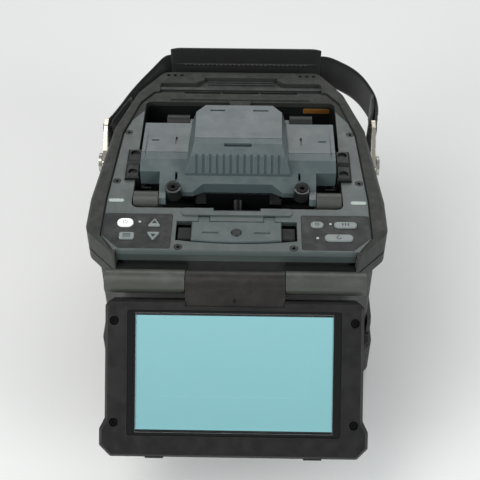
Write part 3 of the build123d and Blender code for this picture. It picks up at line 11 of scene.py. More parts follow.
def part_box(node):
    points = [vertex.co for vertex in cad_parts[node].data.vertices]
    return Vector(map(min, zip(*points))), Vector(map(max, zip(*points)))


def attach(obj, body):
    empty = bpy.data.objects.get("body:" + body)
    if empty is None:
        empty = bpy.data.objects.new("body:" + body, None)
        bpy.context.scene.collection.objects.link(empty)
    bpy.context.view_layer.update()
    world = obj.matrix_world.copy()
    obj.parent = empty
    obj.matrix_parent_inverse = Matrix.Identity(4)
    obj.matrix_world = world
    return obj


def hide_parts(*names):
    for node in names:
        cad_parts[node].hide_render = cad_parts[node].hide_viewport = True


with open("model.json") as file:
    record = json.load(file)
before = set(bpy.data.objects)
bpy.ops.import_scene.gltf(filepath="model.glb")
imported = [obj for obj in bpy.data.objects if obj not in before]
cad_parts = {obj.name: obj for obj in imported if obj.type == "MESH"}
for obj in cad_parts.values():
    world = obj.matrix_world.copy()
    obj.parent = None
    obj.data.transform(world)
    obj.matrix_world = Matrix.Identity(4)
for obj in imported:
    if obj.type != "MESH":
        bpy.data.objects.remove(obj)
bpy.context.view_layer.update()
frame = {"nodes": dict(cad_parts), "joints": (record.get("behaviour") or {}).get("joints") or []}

mm = 0.001

# hand strap: its sides and its pad hang back by different amounts
left_tilt, right_tilt, pad_tilt = math.radians(2.5), math.radians(8.0), math.radians(6.0)
webbing_height = 24.6 * mm
webbing_thick = 1.6 * mm
pad_left, pad_right = -47.5 * mm, 53.5 * mm
pad_half_height = 18.2 * mm
pad_half_thick = 3.3 * mm
pad_seams = (-6.2 * mm, 6.2 * mm)

# monitor
monitor_lean = math.radians(43.0)
picture_margin = 1.3 * mm  # from the display module's edge to its lit picture
picture_pixel = 0.3 * mm

# where one piece changes colour along its length, in the object's frame
alloy_barrels_y = -33.0 * mm  # the motor barrels in front of this
alloy_barrels_z = 117.6 * mm  # and above this are bare alloy
knuckle_shade_y = -88.0 * mm  # the hinge knuckles behind this are painted black as shade
lug_radius = 4.9 * mm  # black round the front cover's screws

# key marks
mark_proud = 0.05 * mm
mark_sunk = 0.05 * mm
ring_mark_steps = 28

# blank label on the bay's rear wall
label_left, label_right = 41.0 * mm, 58.0 * mm
label_from_top, label_height = 1.4 * mm, 3.6 * mm
label_corner = 0.7  # in millimetres, as arc() is

# studio
floor_half = 4.0
camera_place = Vector((9.2, -451.1, 502.0)) * mm
camera_target = Vector((0.9, -6.0, 59.0)) * mm
camera_lens = 72.0


def srgb(red, green, blue):
    """A screen colour, 0 to 255 in each channel, as the linear colour that shaders use."""
    def linear(value):
        value /= 255.0
        return value / 12.92 if value <= 0.04045 else ((value + 0.055) / 1.055) ** 2.4

    return (linear(red), linear(green), linear(blue), 1.0)


def shade(tone, amount):
    """A colour made darker or lighter."""
    return (*[min(c * amount, 1.0) for c in tone[:3]], 1.0)


# ---------------------------------------------------------------- materials
class Finish:
    """A material while it is built: its shader, and short ways to add the nodes behind it."""

    def __init__(self, name, **sockets):
        self.material = bpy.data.materials.new(name)
        self.material.use_nodes = True
        self.tree = self.material.node_tree
        self.shader = next(n for n in self.tree.nodes if n.type == "BSDF_PRINCIPLED")
        self.place = self.node("TexCoord").outputs["Object"]
        for socket, value in sockets.items():
            self.shader.inputs[socket.replace("_", " ")].default_value = value

    def node(self, kind, inputs=None, **settings):
        made = self.tree.nodes.new("ShaderNode" + kind)
        for name, value in settings.items():
            setattr(made, name, value)
        for name, value in (inputs or {}).items():
            self.feed(value, made.inputs[name])
        return made

    def feed(self, value, socket):
        if isinstance(value, bpy.types.NodeSocket):
            self.tree.links.new(value, socket)
        else:
            socket.default_value = value

    def give(self, name, value):
        self.feed(value, self.shader.inputs[name])

    def math(self, operation, a, b=0.0):
        return self.node("Math", {0: a, 1: b}, operation=operation).outputs[0]

    def stretched(self, stretch):
        return self.node("VectorMath", {0: self.place, 1: stretch}, operation="MULTIPLY").outputs[0]

    def noise(self, size, detail=3.0, stretch=None, roughness=0.5):
        place = self.stretched(stretch) if stretch else self.place
        inputs = {"Vector": place, "Scale": 1.0 / size, "Detail": detail, "Roughness": roughness}
        return self.node("TexNoise", inputs).outputs["Fac"]

    def cells(self, size, stretch=None):
        place = self.stretched(stretch) if stretch else self.place
        return self.node("TexVoronoi", {"Vector": place, "Scale": 1.0 / size}).outputs["Distance"]

    def span(self, value, low, high, to_low=0.0, to_high=1.0):
        """value's stretch from low to high, laid over to_low to to_high and held at its ends."""
        inputs = {"Value": value, "From Min": low, "From Max": high, "To Min": to_low, "To Max": to_high}
        return self.node("MapRange", inputs, clamp=True).outputs["Result"]

    def mix(self, factor, a, b):
        made = self.node("Mix", data_type="RGBA")
        self.feed(factor, made.inputs[0])
        self.feed(a, made.inputs[6])
        self.feed(b, made.inputs[7])
        return made.outputs[2]

    def edges(self, radius):
        """1 along the sharp edges of the piece, within radius, and 0 on its flats."""
        rounded = self.node("Bevel", {"Radius": radius}, samples=4).outputs["Normal"]
        flat = self.node("NewGeometry").outputs["Normal"]
        facing = self.node("VectorMath", {0: rounded, 1: flat}, operation="DOT_PRODUCT").outputs[
            "Value"
        ]
        return self.span(facing, 0.998, 0.93)

    def upward(self):
        """1 on surfaces that face up, where dust settles."""
        normal = self.node("NewGeometry").outputs["Normal"]
        return self.span(self.node("SeparateXYZ", {0: normal}).outputs["Z"], 0.3, 0.95)

    def bumps(self, height, depth, strength=1.0, soften=0.0):
        inputs = {"Height": height, "Distance": depth, "Strength": strength}
        if soften:
            inputs["Normal"] = self.node("Bevel", {"Radius": soften}, samples=4).outputs["Normal"]
        self.give("Normal", self.node("Bump", inputs).outputs["Normal"])


def moulded(name, tone, rough=0.5, wear_and_highlight_strength=0.45, dust=0.12, edge=0.5 * mm):
    """Moulded plastic with an eroded grain, paler edges that are partly worn and partly a painted
    highlight, and a little dust on top.
    """
    grain, depth = 0.45 * mm, 0.05 * mm
    f = Finish(name, Specular_IOR_Level=0.45)
    cloudy = f.mix(f.noise(22 * mm, 4.0), shade(tone, 0.88), shade(tone, 1.12))
    speckled = f.mix(f.span(f.noise(0.9 * mm, 2.0), 0.35, 0.7, 0.0, 0.35), cloudy, shade(tone, 1.3))
    patches = f.span(f.noise(9 * mm, 5.0, roughness=0.7), 0.45, 0.75, 0.0, dust)
    settled = f.math("MULTIPLY", f.upward(), patches)
    dusty = f.mix(settled, speckled, srgb(150, 150, 144))
    # paler edges: partly worn, partly a painted highlight along the chamfers, such as the bezel's pale edge
    # line
    edge_wear_and_highlight = f.math("MULTIPLY", f.edges(edge), f.span(f.noise(3 * mm, 4.0), 0.3, 0.62, 0.15, wear_and_highlight_strength))
    f.give("Base Color", f.mix(edge_wear_and_highlight, dusty, shade(tone, 2.3)))
    f.give("Roughness", f.span(f.noise(6 * mm, 5.0), 0.25, 0.75, rough - 0.09, rough + 0.1))
    f.bumps(f.noise(grain, 2.0), depth, soften=edge * 0.7)
    return f.material


def painted(name, tone, rough=0.36, coat=0.18, black_or_painted_shade=None):
    """Satin grey paint over moulded or cast parts, with a fine orange peel and paler edges, partly chipped
    and partly a painted highlight.

    The mask function given last, if any, is 1 where the piece is coloured black: its own black plastic, or
    black painted as shade.
    """
    f = Finish(name, Coat_Weight=coat, Coat_Roughness=0.32, Specular_IOR_Level=0.5)
    cloudy = f.mix(f.noise(30 * mm, 5.0), shade(tone, 0.9), shade(tone, 1.1))
    flakes = f.mix(f.span(f.cells(0.5 * mm), 0.0, 0.22, 0.28, 0.0), cloudy, shade(tone, 1.6))
    patches = f.span(f.noise(12 * mm, 5.0, roughness=0.65), 0.45, 0.8, 0.0, 0.14)
    settled = f.math("MULTIPLY", f.upward(), patches)
    dusty = f.mix(settled, flakes, srgb(170, 172, 168))
    # paler edges: partly chipped, partly a painted highlight along the chamfers
    chips_and_highlight = f.span(f.noise(2.5 * mm, 4.0), 0.3, 0.6, 0.25, 0.55)
    edge_wear_and_highlight = f.math("MULTIPLY", f.edges(0.55 * mm), chips_and_highlight)
    coloured = f.mix(edge_wear_and_highlight, dusty, shade(tone, 1.9))
    # black where the mask is 1: real black plastic round the cover's screws, or painted shade behind the
    # hinge barrels
    f.give("Base Color", f.mix(black_or_painted_shade(f), coloured, srgb(30, 31, 31)) if black_or_painted_shade else coloured)
    streaks = f.noise(2.2 * mm, 6.0, stretch=(0.18, 1.0, 1.0), roughness=0.7)
    scuffs = f.span(streaks, 0.5, 0.8, 0.0, 0.12)
    clouds = f.span(f.noise(8 * mm, 4.0), 0.25, 0.75, rough - 0.05, rough + 0.08)
    f.give("Roughness", f.math("ADD", clouds, scuffs))
    f.bumps(f.noise(0.8 * mm, 2.0), 0.03 * mm, soften=0.4 * mm)
    return f.material


def rubber(name, tone, rough=0.72, dust=0.3):
    """Soft moulded elastomer: matt, slightly pebbled, greyed where it is handled, and paler along its
    edges, partly worn and partly a painted highlight.
    """
    grain = 0.7 * mm
    f = Finish(name, Specular_IOR_Level=0.3, Sheen_Weight=0.12, Sheen_Roughness=0.5)
    cloudy = f.mix(f.noise(16 * mm, 5.0), shade(tone, 0.85), shade(tone, 1.15))
    patches = f.span(f.noise(7 * mm, 6.0, roughness=0.7), 0.42, 0.78, 0.0, dust)
    handled = f.math("MULTIPLY", f.upward(), patches)
    greyed = f.mix(handled, cloudy, srgb(128, 126, 118))
    # paler edges: partly worn, partly a painted highlight, such as the frame's pale inner edge line
    edge_wear_and_highlight = f.math("MULTIPLY", f.edges(0.8 * mm), f.span(f.noise(4 * mm, 4.0), 0.35, 0.65, 0.1, 0.4))
    f.give("Base Color", f.mix(edge_wear_and_highlight, greyed, shade(tone, 2.0)))
    f.give("Roughness", f.span(f.noise(3 * mm, 4.0), 0.3, 0.7, rough - 0.08, rough + 0.1))
    pebbles = f.math("ADD", f.noise(grain, 3.0), f.span(f.cells(grain * 1.4), 0.0, 0.6, 0.0, 0.5))
    f.bumps(pebbles, 0.06 * mm, soften=0.6 * mm)
    return f.material


def metal(name, tone, rough=0.28, stain=0.15):
    """Bare machined or drawn metal: fine tool lines along one axis, faint stains and a painted highlight
    along its edges.
    """
    f = Finish(name, Metallic=1.0)
    lines = f.noise(0.8 * mm, 3.0, stretch=(1.0, 12.0, 12.0))
    toned = f.mix(f.span(lines, 0.3, 0.7), shade(tone, 0.86), shade(tone, 1.1))
    stained = f.mix(f.span(f.noise(5 * mm, 5.0), 0.5, 0.85, 0.0, stain), toned, shade(tone, 0.45))
    # painted highlight: the edges are lightened
    f.give("Base Color", f.mix(f.math("MULTIPLY", f.edges(0.25 * mm), 0.6), stained, shade(tone, 1.5)))
    f.give("Roughness", f.span(lines, 0.2, 0.8, rough - 0.08, rough + 0.12))
    f.bumps(lines, 0.01 * mm, soften=0.2 * mm)
    return f.material


def motor_housing(name):
    """Black motor and hinge barrels; the two at the front of the bay are cast in a brown-grey alloy."""
    f = Finish(name, Specular_IOR_Level=0.5)
    parts = f.node("SeparateXYZ", {0: f.place})
    change = 0.4 * mm
    forward = f.span(parts.outputs["Y"], alloy_barrels_y, alloy_barrels_y - change)
    raised = f.span(parts.outputs["Z"], alloy_barrels_z, alloy_barrels_z + change)
    front = f.math("MULTIPLY", forward, raised)
    lines = f.noise(0.8 * mm, 3.0, stretch=(10.0, 1.0, 1.0))
    black = f.mix(f.noise(12 * mm, 4.0), srgb(24, 25, 25), srgb(32, 33, 33))
    alloy = f.mix(f.span(lines, 0.3, 0.7), srgb(70, 73, 68), srgb(84, 87, 81))
    # paler edges: partly worn, partly a painted highlight
    edge_wear_and_highlight = f.math("MULTIPLY", f.edges(0.5 * mm), f.span(f.noise(3 * mm, 4.0), 0.3, 0.62, 0.1, 0.6))
    f.give("Base Color", f.mix(edge_wear_and_highlight, f.mix(front, black, alloy), srgb(134, 136, 130)))
    f.give("Metallic", f.math("MULTIPLY", front, 0.35))
    f.give("Roughness", f.span(f.noise(4 * mm, 4.0), 0.3, 0.7, 0.36, 0.5))
    f.bumps(f.noise(0.5 * mm, 2.0), 0.02 * mm, soften=0.4 * mm)
    return f.material


def anodised(name, tone, rough=0.4):
    """Dyed anodised aluminium, with fine mill lines and silvery edges."""
    f = Finish(name, Metallic=0.75)
    lines = f.noise(0.6 * mm, 3.0, stretch=(1.0, 10.0, 1.0))
    toned = f.mix(f.span(lines, 0.3, 0.7), shade(tone, 0.8), shade(tone, 1.2))
    bright = f.math("MULTIPLY", f.edges(0.3 * mm), f.span(f.noise(2 * mm, 3.0), 0.35, 0.6, 0.1, 0.8))
    f.give("Base Color", f.mix(bright, toned, srgb(178, 180, 182)))
    f.give("Roughness", f.span(f.noise(1.5 * mm, 4.0), 0.3, 0.7, rough - 0.08, rough + 0.1))
    f.bumps(f.noise(0.25 * mm, 2.0), 0.012 * mm, soften=0.25 * mm)
    return f.material


def ceramic(name, tone):
    """Sintered ceramic: off-white, close grained and faintly glossy."""
    f = Finish(name, Subsurface_Weight=0.08, Subsurface_Scale=0.5 * mm)
    f.give("Base Color", f.mix(f.noise(1.2 * mm, 4.0), shade(tone, 0.9), shade(tone, 1.04)))
    f.give("Roughness", f.span(f.noise(0.7 * mm, 3.0), 0.3, 0.7, 0.26, 0.42))
    f.bumps(f.noise(0.3 * mm, 2.0), 0.01 * mm, soften=0.2 * mm)
    return f.material


def key_rubber(name, tone, light=0.0):
    """A key cap in hard silicone: smooth crown, matt skin, a faint bloom, a darker rim and, when asked for,
    a painted glow.
    """
    f = Finish(name, Subsurface_Weight=0.06, Subsurface_Scale=0.8 * mm)
    cloudy = f.mix(f.noise(4 * mm, 4.0), shade(tone, 0.92), shade(tone, 1.05))
    # the rim is drawn darker
    rim = f.math("MULTIPLY", f.edges(0.6 * mm), 0.35)
    f.give("Base Color", f.mix(rim, cloudy, shade(tone, 0.55)))
    f.give("Roughness", f.span(f.noise(2.5 * mm, 4.0), 0.3, 0.7, 0.36, 0.52))
    # painted glow: the key glows to look brighter white
    if light:
        f.give("Emission Color", shade(tone, 1.0))
        f.give("Emission Strength", light)
    f.bumps(f.noise(0.35 * mm, 2.0), 0.015 * mm, soften=0.5 * mm)
    return f.material


def lens(name, tone, glow=0.0):
    """A moulded lamp window: tinted, cloudy inside and glossy on its face."""
    f = Finish(name, Coat_Weight=0.6, Coat_Roughness=0.08, Transmission_Weight=0.25, IOR=1.49)
    f.give("Base Color", f.mix(f.noise(2 * mm, 3.0), shade(tone, 0.8), shade(tone, 1.1)))
    f.give("Roughness", f.span(f.noise(1.2 * mm, 3.0), 0.3, 0.7, 0.16, 0.3))
    if glow:
        f.give("Emission Color", tone)
        f.give("Emission Strength", glow)
    f.bumps(f.noise(0.5 * mm, 2.0), 0.01 * mm, soften=0.3 * mm)
    return f.material


def board(name):
    """Green solder mask with paler tracks, tinned pads and dark parts in rows."""
    f = Finish(name, Coat_Weight=0.3, Coat_Roughness=0.2)
    mask, track = srgb(18, 78, 48), srgb(46, 122, 74)
    tracks = f.span(f.cells(3.2 * mm, stretch=(1.0, 0.35, 1.0)), 0.42, 0.46)
    pads = f.span(f.cells(2.6 * mm), 0.16, 0.13)
    parts = f.span(f.noise(6 * mm, 0.0), 0.62, 0.63)
    copper = f.mix(tracks, mask, track)
    tinned = f.mix(pads, copper, srgb(196, 194, 182))
    f.give("Base Color", f.mix(parts, tinned, srgb(28, 28, 30)))
    f.give("Roughness", f.span(f.noise(2 * mm, 3.0), 0.3, 0.7, 0.3, 0.48))
    f.bumps(f.math("ADD", tracks, f.math("ADD", pads, parts)), 0.1 * mm)
    return f.material


def picture_place(f):
    """How far a place is across and down the monitor's picture, and 1 inside the picture, 0 outside it."""
    low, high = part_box("display_panel")
    down = Vector((0.0, -math.sin(monitor_lean), -math.cos(monitor_lean)))
    top_edge = Vector((0.0, high.y, high.z))
    length = (Vector((0.0, low.y, low.z)) - top_edge).dot(down)
    from_top = f.node("VectorMath", {0: f.place, 1: top_edge}, operation="SUBTRACT").outputs[0]
    run = f.node("VectorMath", {0: from_top, 1: down}, operation="DOT_PRODUCT").outputs["Value"]
    across = f.node("SeparateXYZ", {0: f.place}).outputs["X"]
    soft = 0.15 * mm
    side = high.x - picture_margin
    inside_x = f.span(f.math("ABSOLUTE", across), side, side - soft)
    inside_top = f.span(run, picture_margin, picture_margin + soft)
    inside_low = f.span(run, length - picture_margin, length - picture_margin - soft)
    inside = f.math("MULTIPLY", inside_x, f.math("MULTIPLY", inside_top, inside_low))
    return across, run, length, inside


def screen(name):
    """The lit panel: a pale blue-green picture of small pixels, a little brighter at its top."""
    f = Finish(name, Roughness=0.4)
    across, run, length, inside = picture_place(f)
    glow = f.mix(f.span(run, 0.0, length), srgb(146, 204, 210), srgb(134, 192, 198))
    wave = 2 * math.pi / picture_pixel
    columns = f.span(f.math("SINE", f.math("MULTIPLY", across, wave)), -1.0, 1.0, 0.9, 1.0)
    rows = f.span(f.math("SINE", f.math("MULTIPLY", run, wave)), -1.0, 1.0, 0.93, 1.0)
    lit = f.math("MULTIPLY", inside, f.math("MULTIPLY", columns, rows))
    f.give("Base Color", srgb(14, 15, 16))
    f.give("Emission Color", glow)
    f.give("Emission Strength", f.math("MULTIPLY", lit, 1.06))
    return f.material


def glass(name):
    """Hardened cover glass with faint finger smears, printed black on its back outside the picture."""
    f = Finish(name, IOR=1.5)
    *_, inside = picture_place(f)
    clear = f.mix(f.noise(20 * mm, 3.0), (0.97, 0.985, 0.985, 1.0), (0.95, 0.98, 0.98, 1.0))
    f.give("Base Color", f.mix(inside, srgb(13, 13, 13), clear))
    f.give("Transmission Weight", inside)
    smears = f.span(f.noise(9 * mm, 5.0, stretch=(1.0, 0.6, 0.6), roughness=0.7), 0.5, 0.85, 0.0, 0.06)
    f.give("Roughness", f.math("ADD", smears, 0.01))
    return f.material


def cloth(name, tone, pitch=0.9 * mm, depth=0.16 * mm):
    """Black nylon seen close: ridges of yarn in a plain weave with painted shade between them, lint and a
    soft sheen.
    """
    f = Finish(name, Sheen_Weight=0.35, Sheen_Roughness=0.4, Specular_IOR_Level=0.35)
    place = f.node("UVMap", uv_map="weave").outputs["UV"]
    parts = f.node("SeparateXYZ", {0: place})
    along = f.math("SINE", f.math("MULTIPLY", parts.outputs["X"], 2 * math.pi / pitch))
    over = f.math("SINE", f.math("MULTIPLY", parts.outputs["Y"], 2 * math.pi / pitch))
    weave = f.math("MULTIPLY", along, over)
    yarn = f.span(weave, -1.0, 1.0)
    cloudy = f.mix(f.noise(9 * mm, 4.0), shade(tone, 0.8), shade(tone, 1.2))
    # painted shade: the hollows between the yarn ridges are darker
    toned = f.mix(yarn, shade(tone, 0.55), cloudy)
    lint = f.span(f.noise(0.5 * mm, 5.0, stretch=(1.0, 0.25, 1.0), roughness=0.8), 0.66, 0.8, 0.0, 0.35)
    f.give("Base Color", f.mix(lint, toned, srgb(96, 94, 90)))
    f.give("Roughness", f.span(yarn, 0.0, 1.0, 0.88, 0.7))
    fuzz = f.math("MULTIPLY", f.noise(0.3 * mm, 4.0), 0.5)
    f.bumps(f.math("ADD", yarn, fuzz), depth)
    return f.material


def thread(name, tone):
    """Twisted sewing thread."""
    f = Finish(name, Sheen_Weight=0.3)
    twist = f.noise(0.25 * mm, 2.0, stretch=(1.0, 1.0, 2.5))
    f.give("Base Color", f.mix(twist, shade(tone, 0.7), shade(tone, 1.2)))
    f.give("Roughness", f.span(twist, 0.2, 0.8, 0.6, 0.8))
    f.bumps(twist, 0.05 * mm)
    return f.material


def ink(name, tone):
    """Pad printing: thin, matt and a little uneven."""
    f = Finish(name, Specular_IOR_Level=0.3)
    f.give("Base Color", f.mix(f.noise(1.0 * mm, 5.0), shade(tone, 0.8), shade(tone, 1.2)))
    f.give("Roughness", f.span(f.noise(0.6 * mm, 3.0), 0.3, 0.7, 0.5, 0.7))
    return f.material


def label_film(name, tone):
    """Coloured label film with a paler worn rim."""
    f = Finish(name, Coat_Weight=0.2, Coat_Roughness=0.3)
    cloudy = f.mix(f.noise(2.5 * mm, 4.0), shade(tone, 0.75), shade(tone, 1.15))
    f.give("Base Color", f.mix(f.math("MULTIPLY", f.edges(0.3 * mm), 0.5), cloudy, srgb(214, 190, 140)))
    f.give("Roughness", f.span(f.noise(1.5 * mm, 3.0), 0.3, 0.7, 0.35, 0.55))
    return f.material


def floor_paper(name):
    """Pale studio paper with a faint grain."""
    f = Finish(name)
    tone = srgb(244, 244, 242)
    f.give("Base Color", f.mix(f.noise(0.6, 4.0), shade(tone, 0.985), shade(tone, 1.01)))
    f.give("Roughness", f.span(f.noise(0.2, 3.0), 0.3, 0.7, 0.7, 0.8))
    f.bumps(f.noise(1.5 * mm, 3.0), 0.02 * mm)
    return f.material


def on_cover_lugs(f):
    """1 on the round lugs that hold the front cover's screws."""
    low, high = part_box("cover_screws")
    reach = (high.y - low.y) / 2
    parts = f.node("SeparateXYZ", {0: f.place})
    across = f.math("SUBTRACT", f.math("ABSOLUTE", parts.outputs["X"]), high.x - reach)
    back = f.math("SUBTRACT", parts.outputs["Y"], (low.y + high.y) / 2)
    squares = f.math("ADD", f.math("MULTIPLY", across, across), f.math("MULTIPLY", back, back))
    return f.span(f.math("SQRT", squares), lug_radius + 0.2 * mm, lug_radius)


def knuckle_painted_shade(f):
    """1 on the part of the hinge knuckles behind their barrels, painted black as shade."""
    back = f.node("SeparateXYZ", {0: f.place}).outputs["Y"]
    return f.span(back, knuckle_shade_y - 1.0 * mm, knuckle_shade_y)


def dress(finish, *names):
    """Gives CAD nodes a finish through the material slots of their objects."""
    for name in names:
        piece = frame["nodes"][name]
        for slot in piece.material_slots:
            slot.link = "OBJECT"
            slot.material = finish


def dress_cad_nodes():
    dress(moulded("side_shell", srgb(34, 36, 34), rough=0.5), "side_casing")
    dress(moulded("base_shell", srgb(30, 31, 30), rough=0.55), "base_tray")
    dress(painted("deck_paint", srgb(68, 78, 75)), "deck_cover")
    dress(painted("hood_paint", srgb(72, 83, 84), rough=0.32, coat=0.3), "wind_cover_rear")
    wings = painted("wing_paint", srgb(74, 86, 87), rough=0.32, coat=0.3, black_or_painted_shade=on_cover_lugs)
    dress(wings, "wind_cover_front")
    dress(painted("heater_lid_paint", srgb(68, 79, 79), rough=0.38), "heater_lid")
    dress(rubber("frame_rubber", srgb(42, 44, 41), dust=0.2), "rubber_frame")
    dress(rubber("bar_rubber", srgb(40, 42, 38), dust=0.16), "rear_bar")
    dress(rubber("boot_rubber", srgb(31, 32, 30), dust=0.16), "corner_boots")
    dress(rubber("foot_rubber", srgb(30, 30, 30), rough=0.8), "rubber_feet")
    dress(moulded("vent_plastic", srgb(34, 36, 34), rough=0.52), "vent_cover")
    dress(moulded("tub_plastic", srgb(15, 16, 16), rough=0.55, dust=0.03, wear_and_highlight_strength=0.25), "bay_tub")
    dress(moulded("guide_plastic", srgb(18, 19, 19), rough=0.45, dust=0.03), "fibre_guides")
    dress(moulded("keypad_plastic", srgb(26, 28, 27), rough=0.46, wear_and_highlight_strength=0.9), "keypad_panels")
    # the bezel's pale edge line is a painted highlight
    bezel = moulded("bezel_plastic", srgb(18, 17, 16), rough=0.4, wear_and_highlight_strength=0.75, dust=0.04, edge=0.6 * mm)
    dress(bezel, "monitor_bezel")
    dress(moulded("monitor_shell_plastic", srgb(29, 29, 28), rough=0.5), "monitor_back_shell")
    dress(moulded("arm_plastic", srgb(27, 24, 22), rough=0.44, dust=0.06), "monitor_arm")
    # the knuckles behind their barrels are painted black as shade
    knuckles = painted("knuckle_plastic", srgb(64, 67, 61), rough=0.4, coat=0.1, black_or_painted_shade=knuckle_painted_shade)
    dress(knuckles, "hinge_knuckles")
    dress(moulded("battery_plastic", srgb(34, 35, 36), rough=0.5), "battery_pack")
    dress(moulded("catch_plastic", srgb(92, 98, 98), rough=0.45), "battery_catch")
    dress(moulded("door_plastic", srgb(48, 50, 48), rough=0.5), "socket_door")
    dress(moulded("fan_frame_plastic", srgb(22, 22, 23), rough=0.42, dust=0.25), "fan_housing")
    dress(moulded("fan_blade_plastic", srgb(30, 30, 32), rough=0.36, dust=0.3), "fan_rotor")
    dress(moulded("socket_plastic", srgb(24, 24, 25), rough=0.35), "connectors")
    dress(moulded("grip_plastic", srgb(22, 23, 23), rough=0.45, dust=0.04), "lid_grip")
    dress(rubber("clamp_rubber", srgb(26, 26, 26), dust=0.06), "heater_clamps", "fibre_clamp_pads")
    dress(anodised("pan_alloy", srgb(26, 27, 28)), "heater_pan")
    dress(ceramic("heater_ceramic", srgb(196, 188, 170)), "heater_plate")
    dress(anodised("block_alloy", srgb(44, 46, 48)), "splice_block")
    dress(anodised("stage_alloy", srgb(50, 52, 54)), "holder_stage_left", "holder_stage_right")
    dress(anodised("clamp_alloy", srgb(120, 122, 124), rough=0.32), "electrode_clamps")
    dress(anodised("barrel_alloy", srgb(24, 24, 26), rough=0.34), "microscopes")
    dress(ceramic("groove_ceramic", srgb(226, 224, 216)), "v_groove_blocks")
    dress(metal("ground_steel", srgb(104, 106, 108), rough=0.3), "stage_rails", "hinge_pins")
    dress(metal("ring_steel", srgb(222, 214, 196), rough=0.2), "strap_rings")
    dress(metal("post_steel", srgb(190, 188, 182), rough=0.24), "strap_posts")
    dress(metal("screw_steel", srgb(66, 68, 66), rough=0.34), "body_screws")
    dress(metal("black_screw_steel", srgb(32, 32, 32), rough=0.36), "monitor_screws", "cover_screws")
    dress(metal("tungsten", srgb(168, 166, 162), rough=0.18), "electrodes")
    dress(metal("brass", srgb(196, 160, 92), rough=0.26), "tripod_socket")
    dress(metal("nickel_can", srgb(176, 174, 168), rough=0.3, stain=0.3), "arc_power_unit")
    dress(motor_housing("motor_housing"), "drive_motors")
    dress(board("circuit_board"), "circuit_boards")
    dress(lens("lamp_window", srgb(168, 182, 174), glow=0.12), "indicator_lamps")
    dress(lens("cover_lamp_lens", srgb(230, 230, 220)), "cover_lamps")
    dress(screen("lit_screen"), "display_panel")
    dress(glass("cover_glass"), "touch_glass")
    # the power key is given a painted glow
    dress(key_rubber("power_key_rubber", srgb(240, 244, 244), light=0.3), "power_button")
    grey_keys = ["menu_button", "up_button", "down_button", "set_button", "heat_button", "reset_button"]
    dress(key_rubber("grey_key_rubber", srgb(134, 142, 140)), *grey_keys)


# ---------------------------------------------------------------- mesh helpers
def piece_from(bm, name, finish, smooth=True):
    """The finished object of a mesh under construction, in the scene and in its finish."""
    mesh = bpy.data.meshes.new(name)
    bmesh.ops.recalc_face_normals(bm, faces=bm.faces)
    bm.to_mesh(mesh)
    bm.free()
    mesh.materials.append(finish)
    for face in mesh.polygons:
        face.use_smooth = smooth
    piece = bpy.data.objects.new(name, mesh)
    bpy.context.scene.collection.objects.link(piece)
    return piece


def skin(bm, rings):
    """A closed skin over rings of vertices; gives each side face after its ring and its place round it."""
    count = len(rings[0])
    sides = []
    for i, (a, b) in enumerate(zip(rings, rings[1:])):
        for j in range(count):
            k = (j + 1) % count
            sides.append((i, j, bm.faces.new((a[j], a[k], b[k], b[j]))))
    bm.faces.new(rings[0][::-1])
    bm.faces.new(rings[-1])
    return sides


def smooth_line(points):
    """Points along the curve that rounds each corner of a run from the middle of one side to the next."""
    per_corner = 10
    middles = [(a + b) / 2 for a, b in zip(points, points[1:])]
    line = [points[0]]
    for start, corner, end in zip(middles, points[1:], middles[1:]):
        for i in range(per_corner + 1):
            t = i / per_corner
            line.append(start * (1 - t) ** 2 + corner * 2 * t * (1 - t) + end * t * t)
    line.append(points[-1])
    return [p for p, q in zip(line, [None, *line]) if q is None or (p - q).length > 1e-6]


def lengths_along(line):
    """The length of a line up to each of its points."""
    total = [0.0]
    for a, b in zip(line, line[1:]):
        total.append(total[-1] + (b - a).length)
    return total


# ---------------------------------------------------------------- hand strap
ring_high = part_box("strap_rings")[1]
strap_joint = next(j for j in frame["joints"] if j["name"] == "strap_swing")
anchor = Vector(strap_joint["pos_m"])
anchor.x = 0.0

bar_x = ring_high.x - 1.2 * mm
bar_y = anchor.y + 23.5 * mm
pad_y = anchor.y + 89.0 * mm


def hung_back(angle):
    """The turn that hangs a level run of the strap back by an angle about its posts."""
    return Matrix.Translation(anchor) @ Matrix.Rotation(angle, 4, "X") @ Matrix.Translation(-anchor)


def side_turn(side, share):
    """The strap's turn part of the way from the ring, 0, to the pad, 1."""
    start = right_tilt if side > 0 else left_tilt
    eased = share * share * (3 - 2 * share)
    return hung_back(start + (pad_tilt - start) * eased)


def webbing_run(side):
    """The strap's middle line from above: from its turned-back end, round the ring's bar, into the pad."""
    if side > 0:
        turned_back = [(1.7, 27.0), (2.0, 18.0), (0.5, 10.0), (-1.6, 4.0), (-2.2, 0.0), (-2.2, -3.2)]
        free = [(2.2, -3.2), (2.2, 0.0), (2.9, 7.5), (4.4, 16.8), (2.8, 30.0), (-5.5, 49.5)]
        free += [(-20.7, 62.5), (-26.7, 65.5), (-33.7, 65.5)]
    else:
        turned_back = [(-12.6, 26.0), (-8.9, 17.5), (-5.6, 9.0), (-3.2, 3.5), (-2.4, 0.0), (-2.2, -3.2)]
        free = [(2.2, -3.2), (2.0, 0.0), (-0.2, 3.6), (-3.2, 9.8), (-13.1, 33.5), (-26.8, 56.1)]
        free += [(-32.7, 65.5), (-39.7, 65.5)]
    from_bar = [*turned_back, *free]
    run = [Vector((side * (bar_x + dx * mm), bar_y + dy * mm, anchor.z)) for dx, dy in from_bar]
    return smooth_line(run)


def webbing_section():
    """Flat woven section with rounded, slightly thicker selvages: offsets across and out."""
    half, thin = webbing_height / 2, webbing_thick / 2
    outline = []
    for i in range(13):
        across = half * (2 * i / 12 - 1)
        edge = abs(across) / half
        swell = 1.0 if edge < 0.84 else 1.12 if edge < 0.99 else 0.45
        outline.append((across, thin * swell))
    return outline + [(across, -out) for across, out in reversed(outline)]


